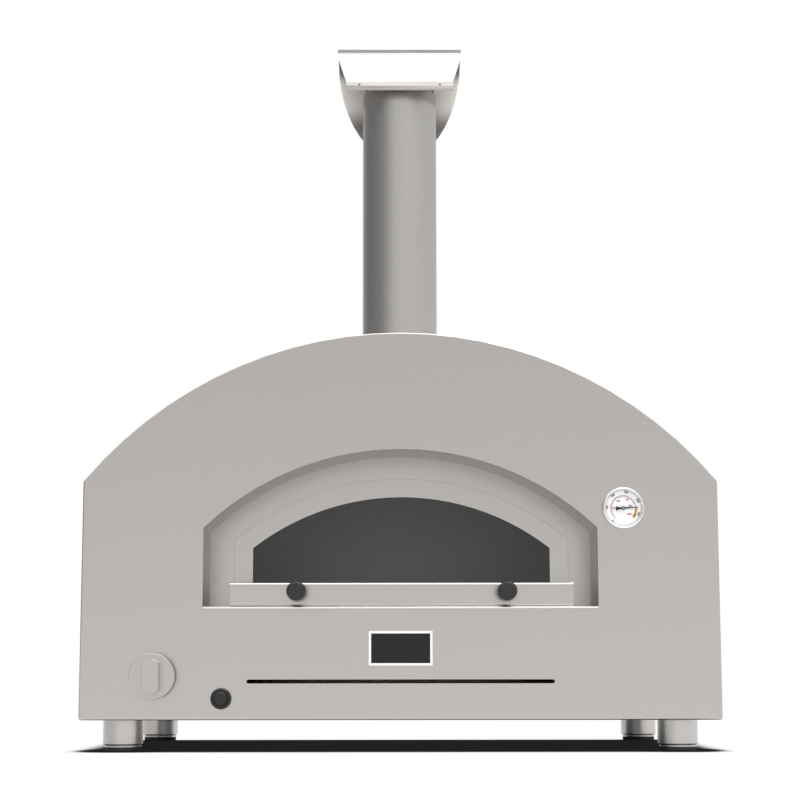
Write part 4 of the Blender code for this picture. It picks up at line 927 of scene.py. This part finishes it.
rivet = rivet_mesh()
small_rivet = rivet_mesh(VISOR_RIVET_SHARE)
for name, side in (("left", -1), ("right", 1)):
    place = (side * RIVET_X, visor_low.y + RIVET_SETBACK, visor_low.z + RIVET_LIFT)
    fasten("visor_rivet_" + name, small_rivet, place, VISOR_RIVET_FACING, soft_black)
    upper, lower = pipe_high.z - UPPER_RIVET_DROP, shield_low.z + LOWER_RIVET_LIFT
    for row, height in (("upper", upper), ("lower", lower)):
        place = (side * SHIELD_RIVET_X, shield_high.y, height)
        fasten(f"shield_rivet_{row}_{name}", rivet, place, (0, 1, 0), plated)


# Door: an arched plate round a dark pane, with a shallow folded tray whose front edge is
# the handle bar. The pane sits in a retainer that is screwed on from behind.

PANE_DARK = (0.020, 0.0205, 0.021)
# Painted warm light, low in the pane's middle.
PANE_PAINTED_LIGHT = (0.074, 0.069, 0.063)
PANE_DULLNESS = 0.10
PANE_COAT = 0.1
PANE_LIGHT_REACH = 0.02
PANE_LIGHT_FADE = 0.75
DOOR_STEEL = (0.562, 0.536, 0.514)
DOOR_DULLNESS = 0.26
DOOR_GRAIN = (4, 900, 900)
BAR_FOLD = 0.0048
HIGHLIGHT_REACH = 0.0032
HIGHLIGHT_TILT = 0.08
RETAINER_SCREW_X = 0.234
RETAINER_SCREW_HEIGHTS = (0.262, 0.32)
TRAY_RIVET_PLACES = (-0.22, -0.075, 0.075, 0.22)
TRAY_RIVET_LIFT = 0.0078


def dark_glass(low, high):
    """A smoked pane, with painted warm light low in its middle."""
    made, wire, at = new_material("dark_glass")
    x, z = at.part(0), at.part(2)
    across = x.maths("ABSOLUTE", x).between(PANE_LIGHT_REACH, high.x)
    up = z.between(low.z, high.z)
    # Painted warm light, brightest low and in the middle of the pane.
    painted_light = (1 - across) * (1 - up * PANE_LIGHT_FADE)
    smears = noise(wire, at, 9, 3)
    colour = (painted_light + smears * 0.25).mix(PANE_DARK, PANE_PAINTED_LIGHT)
    dull = PANE_DULLNESS + smears * 0.06
    surface(wire, colour, dull, 0.0, Coat_Weight=PANE_COAT)
    return made


door_steel = brushed_steel("door_steel", DOOR_STEEL, DOOR_DULLNESS, DOOR_GRAIN)
skin("door_plate", door_steel, FINE_ROUNDING)
skin("door_glass", dark_glass(*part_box("door_glass")))
skin("door_glass_retainer", rolled, FINE_ROUNDING)
tray_low, tray_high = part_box("door_tray")
tray_folds = [(BAR_FOLD, (tray_low.z + tray_high.z) / 2), (SHEET_FOLD,)]
door_tray = skin("door_tray", door_steel, FINE_ROUNDING, folds=tray_folds)
door_tray.data.materials.append(painted_highlight_edge)
# The bar's top bend at its front takes the painted highlight.
for face in door_tray.data.polygons:
    high_up = face.center.z > tray_high.z - HIGHLIGHT_REACH
    in_front = face.center.y < tray_low.y + HIGHLIGHT_REACH
    if high_up and in_front and face.normal.z > HIGHLIGHT_TILT:
        face.material_index = 1
retainer_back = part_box("door_glass_retainer")[1].y
screw_sides = (-RETAINER_SCREW_X, RETAINER_SCREW_X)
screw_places = [(x, z) for x in screw_sides for z in RETAINER_SCREW_HEIGHTS]
for index, (x, z) in enumerate(screw_places):
    place = (x, retainer_back, z)
    fasten(f"retainer_screw_{index + 1}", screw, place, (0, 1, 0), plated, "door")
for index, x in enumerate(TRAY_RIVET_PLACES):
    place = (x, tray_high.y - SHEET, tray_low.z + TRAY_RIVET_LIFT)
    fasten(f"door_rivet_{index + 1}", rivet, place, (0, -1, 0), plated, "door")


# Door knobs: black phenolic buttons on narrow necks, moulded with a fine matt face. Each is
# held by a screw through the handle bar.

PHENOLIC = (0.016, 0.016, 0.015)
PHENOLIC_DULLNESS = 0.42
PHENOLIC_TEXTURE = 1500
SHALLOW_MOULD = 0.00002
BUTTON_ROUNDING = 0.0010

phenolic = black_compound(
    "black_phenolic", PHENOLIC, PHENOLIC_DULLNESS, PHENOLIC_TEXTURE, SHALLOW_MOULD
)
for side in ("left", "right"):
    skin("door_knob_" + side, phenolic, BUTTON_ROUNDING)
    carried(plated, "door_knob_screw_" + side)


# Gas knob: a turned steel disc with a ridge across it to grip. It is pressed in against
# the valve's spring and turned.

KNOB_STEEL = (0.58, 0.555, 0.535)
KNOB_DULLNESS = 0.36
KNOB_GRAIN = (4, 900, 700)
KNOB_ROUNDING = 0.0005

knob_steel = brushed_steel("knob_steel", KNOB_STEEL, KNOB_DULLNESS, KNOB_GRAIN)
skin("gas_knob", knob_steel, KNOB_ROUNDING)


# Igniter: a black plastic bezel with a button in it. The button strikes a spark when it is
# pressed home against its spring.

IGNITER_BLACK = (0.010, 0.010, 0.010)
IGNITER_DULLNESS = 0.38
IGNITER_TEXTURE = 1200
IGNITER_ROUNDING = 0.0006

igniter_black = black_compound(
    "igniter_black", IGNITER_BLACK, IGNITER_DULLNESS, IGNITER_TEXTURE, SHALLOW_MOULD
)
skin("igniter_housing", igniter_black, IGNITER_ROUNDING)
skin("igniter_button", igniter_black, IGNITER_ROUNDING)


# Thermometer: a bright pressed case with a white dial printed in two scales, a black needle
# and a clear window. The maker's line is left off.

BRIGHT_STEEL = (0.93, 0.93, 0.92)
BRIGHT_DULLNESS = 0.22
BRIGHT_GRAIN = (400, 400, 400)
DIAL_WHITE = (0.95, 0.95, 0.94)
INKS = {
    "black_ink": (0.035, 0.042, 0.04),
    "grey_ink": (0.33, 0.34, 0.34),
    "red_ink": (0.48, 0.09, 0.15),
    "pink_ink": (0.86, 0.60, 0.63),
    "orange_ink": (0.80, 0.38, 0.13),
    "amber_ink": (0.50, 0.24, 0.02),
}
INK_DULLNESS = 0.5
CAP_GREY = (0.27, 0.27, 0.27)
NEEDLE_BLACK = (0.012, 0.012, 0.012)
NEEDLE_SHINE = 0.1
NEEDLE_ROUNDING = 0.0001
GLASS_TINT = (0.35, 0.36, 0.36)
GLASS_ALPHA = 0.03
GLASS_DULLNESS = 0.04
GLASS_SHINE = 0.1
GLASS_ROUNDING = 0.0002
PRINT = 0.00006
# Words and degrees from +X, and for the inner scale a share of the dial's radius.
OUTER_SCALE = (
    ("0", 229.6),
    ("100", 178),
    ("200", 128.4),
    ("300", 78.4),
    ("400", 27.6),
    ("500", -21),
)
INNER_SCALE = (
    ("200", 181, 0.53),
    ("400", 124, 0.465),
    ("600", 66, 0.495),
    ("800", 18, 0.42),
    ("1000", -46, 0.455),
)
# Name, ink, inner and outer share of the radius, start and end in degrees, and steps.
DIAL_BANDS = (
    ("dial_line", "grey_ink", 0.65, 0.67, OUTER_SCALE[0][1], 3, 60),
    ("dial_rim_line", "grey_ink", 0.955, 0.97, 0, 360, 90),
    ("dial_warm_band", "pink_ink", 0.595, 0.645, 205, 20, 50),
    ("dial_hot_band", "orange_ink", 0.63, 0.77, 2, -24, 14),
    ("dial_end_band", "amber_ink", 0.64, 0.79, -24, -43, 10),
)
OUTER_NUMBERS = 0.88
NUMBER_HEIGHT = 0.0044
SMALL_NUMBER_HEIGHT = 0.0037
STROKE = 0.00018
TICK_START = 0.67
SHORT_TICK = 0.72
LONG_TICK = 0.765
TICKS_PER_MARK = 10
TICK_HALF_WIDTH = 0.00026
RING_ROUNDING = 8
TURNED_STEPS = 96
DIAL_CLEARANCE = 0.0003
# These heights are from the front panel's face, which the boss and the stem pass through.
CASE_FLOOR = 0.0023
CASE_BACK = 0.0003
BOSS_RADIUS = 0.009
BOSS_LENGTH = 0.012
STEM_RADIUS = 0.003
STEM_START = 0.015
STEM_POINT = 0.0015
CAP_PROFILE = ((0, 0), (0.0019, 0), (0.0018, 0.0004), (0.0011, 0.0007), (0, 0.0008))
CAP_STEPS = 48

dial_low, dial_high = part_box("thermometer_dial")
dial_middle = (dial_low + dial_high) / 2
dial_radius = (dial_high.x - dial_low.x) / 2
dial_face = dial_low.y


def printing(name, colour):
    """Ink or paint: one colour, a little uneven."""
    made, wire, at = new_material(name)
    patchy = noise(wire, at, 1500)
    surface(wire, toned(wire, colour, patchy * 0.12 + 1), INK_DULLNESS, 0.0)
    return made


def clear_glass():
    """A window so clear that only smears and a faint shine show it."""
    made, wire, at = new_material("clear_glass")
    smears = noise(wire, at, 90, 3)
    dull = GLASS_DULLNESS + smears * 0.03
    shine = {"Alpha": GLASS_ALPHA, "Specular_IOR_Level": GLASS_SHINE}
    surface(wire, GLASS_TINT, dull, 0.0, **shine)
    return made


def on_dial(share, angle, lift=PRINT):
    """The point at that share of the dial's radius and angle, in degrees from +X."""
    turn = math.radians(angle)
    reach = share * dial_radius
    x = dial_middle.x + reach * math.cos(turn)
    return Vector((x, dial_face - lift, dial_middle.z + reach * math.sin(turn)))


def print_patches(name, patches, ink):
    """Thin flat patches of ink, each given as corners on the dial."""
    faces = bmesh.new()
    for patch in patches:
        top = [faces.verts.new(point) for point in patch]
        low = [faces.verts.new(Vector((p.x, dial_face, p.z))) for p in patch]
        faces.faces.new(top)
        for index in range(len(patch)):
            following = (index + 1) % len(patch)
            faces.faces.new((top[index], low[index], low[following], top[following]))
    bmesh.ops.recalc_face_normals(faces, faces=faces.faces)
    printed = add_piece(name, as_mesh(faces, name), ink)
    return take_slot(printed)


def band(inner, outer, start, end, steps):
    """A stretch of a ring on the dial, as patches."""
    angles = [start + (end - start) * step / steps for step in range(steps + 1)]
    return [
        (on_dial(inner, a), on_dial(outer, a), on_dial(outer, b), on_dial(inner, b))
        for a, b in zip(angles, angles[1:])
    ]


def tick(angle, outer):
    """One mark of the scale, as a patch that widens a little outwards."""
    turn = math.degrees(TICK_HALF_WIDTH / (TICK_START * dial_radius))
    low, high = angle - turn, angle + turn
    corners = ((TICK_START, low), (outer, low), (outer, high), (TICK_START, high))
    return [on_dial(share, at) for share, at in corners]


def print_number(name, words, height, share, angle, lean, ink):
    """A number on the dial, leaning by that many degrees."""
    curve = bpy.data.curves.new(name, "FONT")
    curve.body = words
    curve.size = height
    curve.offset = STROKE
    curve.align_x = "CENTER"
    curve.align_y = "CENTER"
    curve.extrude = PRINT / 2
    text = bpy.data.objects.new(name, curve)
    bpy.context.scene.collection.objects.link(text)
    graph = bpy.context.evaluated_depsgraph_get()
    mesh = bpy.data.meshes.new_from_object(text.evaluated_get(graph))
    bpy.data.objects.remove(text)
    mesh.materials.clear()
    upright = Matrix.Rotation(math.pi / 2, 4, "X")
    turn = Matrix.Rotation(math.radians(lean), 4, "Z")
    mesh.transform(Matrix.Translation(on_dial(share, angle)) @ upright @ turn)
    return take_slot(add_piece(name, mesh, ink))


def case_mesh(low, high, inner):
    """The case in its own sizes, turned finer and with a rounded ring. It faces local Z."""
    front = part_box("front_panel")[0].y
    middle = (low + high) / 2
    outer = (high.x - low.x) / 2
    reach = front - low.y
    half = (outer - inner) / 2
    tip = front - high.y
    profile = [(0, CASE_FLOOR), (inner, CASE_FLOOR)]
    for step in range(RING_ROUNDING + 1):
        angle = math.pi * (1 - step / RING_ROUNDING)
        rise = half * math.sin(angle)
        profile.append((inner + half + half * math.cos(angle), reach - half + rise))
    profile += [(outer, CASE_BACK), (BOSS_RADIUS, CASE_BACK)]
    profile += [(BOSS_RADIUS, -BOSS_LENGTH), (STEM_RADIUS, -STEM_START)]
    profile += [(STEM_RADIUS, tip + STEM_POINT), (STEM_POINT, tip), (0, tip)]
    mesh = turned_mesh("thermometer_case_skin", profile, TURNED_STEPS)
    mesh.transform(Matrix.Translation((middle.x, front, middle.z)) @ facing((0, -1, 0)))
    return mesh


bright = brushed_steel("bright_steel", BRIGHT_STEEL, BRIGHT_DULLNESS, BRIGHT_GRAIN)
white_paint = printing("dial_white", DIAL_WHITE)
inks = {name: printing(name, colour) for name, colour in INKS.items()}
case_low, case_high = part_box("thermometer_case")
turned_case = case_mesh(case_low, case_high, dial_radius + DIAL_CLEARANCE)
case = add_piece("thermometer_case_skin", turned_case, bright)
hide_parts("thermometer_case")
take_slot(case)
carried(white_paint, "thermometer_dial")
for words, angle in OUTER_SCALE:
    name, lean = "dial_number_" + words, angle - 90
    print_number(name, words, NUMBER_HEIGHT, OUTER_NUMBERS, angle, lean, inks["black_ink"])
for words, angle, share in INNER_SCALE:
    name = "dial_small_number_" + words
    print_number(name, words, SMALL_NUMBER_HEIGHT, share, angle, 0, inks["red_ink"])
scale_angles = [angle for _, angle in OUTER_SCALE]
ticks = []
for start, end in zip(scale_angles, scale_angles[1:]):
    for index in range(TICKS_PER_MARK):
        length = LONG_TICK if index == 0 else SHORT_TICK
        ticks.append(tick(start + (end - start) * index / TICKS_PER_MARK, length))
ticks.append(tick(scale_angles[-1], LONG_TICK))
print_patches("dial_ticks", ticks, inks["black_ink"])
for name, ink, *stretch in DIAL_BANDS:
    print_patches(name, band(*stretch), inks[ink])
needle_paint = enamel("needle_black", NEEDLE_BLACK, NEEDLE_SHINE)
skin("thermometer_needle", needle_paint, NEEDLE_ROUNDING)
cap = turned_mesh("needle_cap", CAP_PROFILE, CAP_STEPS)
cap_place = (dial_middle.x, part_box("thermometer_needle")[0].y, dial_middle.z)
fasten("needle_cap", cap, cap_place, (0, -1, 0), printing("cap_grey", CAP_GREY), "needle")
skin("thermometer_glass", clear_glass(), GLASS_ROUNDING)


# Studio: a white floor and surround, bright overhead and darker to the left, and one large
# soft lamp. The camera stands where the photograph's did, low and three metres away.

FLOOR_REACH = 14
FLOOR_SQUARES = 4
FLOOR_PAINT = (0.85, 0.85, 0.85)
WHITE = (1, 1, 1)
SHADOW_REACH = 0.06
SHADOW_END = 0.23
SHADOW_BLUR = 0.02
SHADOW_TONES = (0.74, 0.995, 0.015, 1.0)
SHADOW_SAMPLES = 32
LOW_BRIGHTNESS = (0.0, 0.22, 1.0, 0.72)
HIGH_BRIGHTNESS = (0.45, 0.85, 0.0, 1.2)
LEFT_BRIGHTNESS = (-0.95, -0.15, 0.26, 1.0)
LEFT_SHADE_TOP = (0.35, 0.65)
LAMP_PLACE = (0.9, -1.4, 3.4)
LAMP_AIM = (0, 0, 0.4)
LAMP_WIDTH = 2.4
LAMP_DEPTH = 1.6
LAMP_POWER = 30
LAMP_GLINT = 0.15
CAMERA_PLACE = (-0.0124, -3.2645, 0.1184)
CAMERA_RISE = math.radians(8.121)
CAMERA_ROLL = math.radians(0.051)
CAMERA_TURN = math.radians(-0.221)
CAMERA_LENS = 86.15


def seen_or_mirrored(wire):
    """Wires that are 1 for camera, glossy or transmitted rays, and for camera rays only."""
    rays = wire.node("ShaderNodeLightPath").socket.node.outputs
    seen = Wire(wire.tree, rays["Is Camera Ray"])
    glossy = Wire(wire.tree, rays["Is Glossy Ray"])
    passed = Wire(wire.tree, rays["Is Transmission Ray"])
    return seen.maths("MAXIMUM", seen, seen.maths("MAXIMUM", glossy, passed)), seen


def floor_material():
    """White wherever it is seen, less what the oven shades."""
    made, wire, at = new_material("studio_floor")
    plain, _ = seen_or_mirrored(wire)
    settings = {"samples": SHADOW_SAMPLES}
    shade = wire.node("ShaderNodeAmbientOcclusion", settings, {"Distance": SHADOW_REACH}, 1)
    # Behind y = SHADOW_END the floor is painted white, cutting the oven's shadow off there.
    behind = at.part(1).between(SHADOW_END - SHADOW_BLUR, SHADOW_END + SHADOW_BLUR)
    shown = shade.maths("MAXIMUM", shade.between(*SHADOW_TONES), behind)
    glow = wire.node("ShaderNodeEmission", (), {"Color": WHITE, "Strength": shown})
    paint = wire.node("ShaderNodeBsdfDiffuse", (), {"Color": FLOOR_PAINT})
    both = wire.node("ShaderNodeMixShader", (), {0: plain, 1: paint, 2: glow})
    wire.node("ShaderNodeOutputMaterial", (), {"Surface": both})
    return made


def studio_world():
    """White behind the oven. What the steel reflects is brighter above and darker left."""
    world = bpy.data.worlds.new("studio")
    world.use_nodes = True
    world.node_tree.nodes.clear()
    wire = Wire(world.node_tree)
    _, seen = seen_or_mirrored(wire)
    toward = wire.node("ShaderNodeTexCoord", output="Generated")
    x, z = toward.part(0), toward.part(2)
    around = z.between(*LOW_BRIGHTNESS) + z.between(*HIGH_BRIGHTNESS)
    left = x.between(*LEFT_BRIGHTNESS)
    around = around * (left + (1 - left) * z.between(*LEFT_SHADE_TOP))
    strength = seen + (1 - seen) * around
    inputs = {"Color": WHITE, "Strength": strength}
    glow = wire.node("ShaderNodeBackground", (), inputs)
    wire.node("ShaderNodeOutputWorld", (), {"Surface": glow})
    return world


faces = bmesh.new()
squares = {"x_segments": FLOOR_SQUARES, "y_segments": FLOOR_SQUARES}
bmesh.ops.create_grid(faces, size=FLOOR_REACH, **squares)
floor_mesh = as_mesh(faces, "studio_floor")
floor = bpy.data.objects.new("studio_floor", floor_mesh)
floor_mesh.materials.append(floor_material())
bpy.context.scene.collection.objects.link(floor)

bpy.context.scene.world = studio_world()

lamp_data = bpy.data.lights.new("soft_lamp", "AREA")
lamp_data.shape = "RECTANGLE"
lamp_data.size = LAMP_WIDTH
lamp_data.size_y = LAMP_DEPTH
lamp_data.energy = LAMP_POWER
lamp_data.specular_factor = LAMP_GLINT
lamp = bpy.data.objects.new("soft_lamp", lamp_data)
lamp.location = LAMP_PLACE
lamp_aim = Vector(LAMP_AIM) - lamp.location
lamp.rotation_euler = lamp_aim.to_track_quat("-Z", "Y").to_euler()
bpy.context.scene.collection.objects.link(lamp)

camera_data = bpy.data.cameras.new("camera")
camera_data.lens = CAMERA_LENS
camera = bpy.data.objects.new("camera", camera_data)
camera.location = CAMERA_PLACE
camera.rotation_euler = (math.pi / 2 + CAMERA_RISE, CAMERA_ROLL, CAMERA_TURN)
bpy.context.scene.collection.objects.link(camera)
bpy.context.scene.camera = camera
bpy.context.scene.view_settings.view_transform = "Standard"
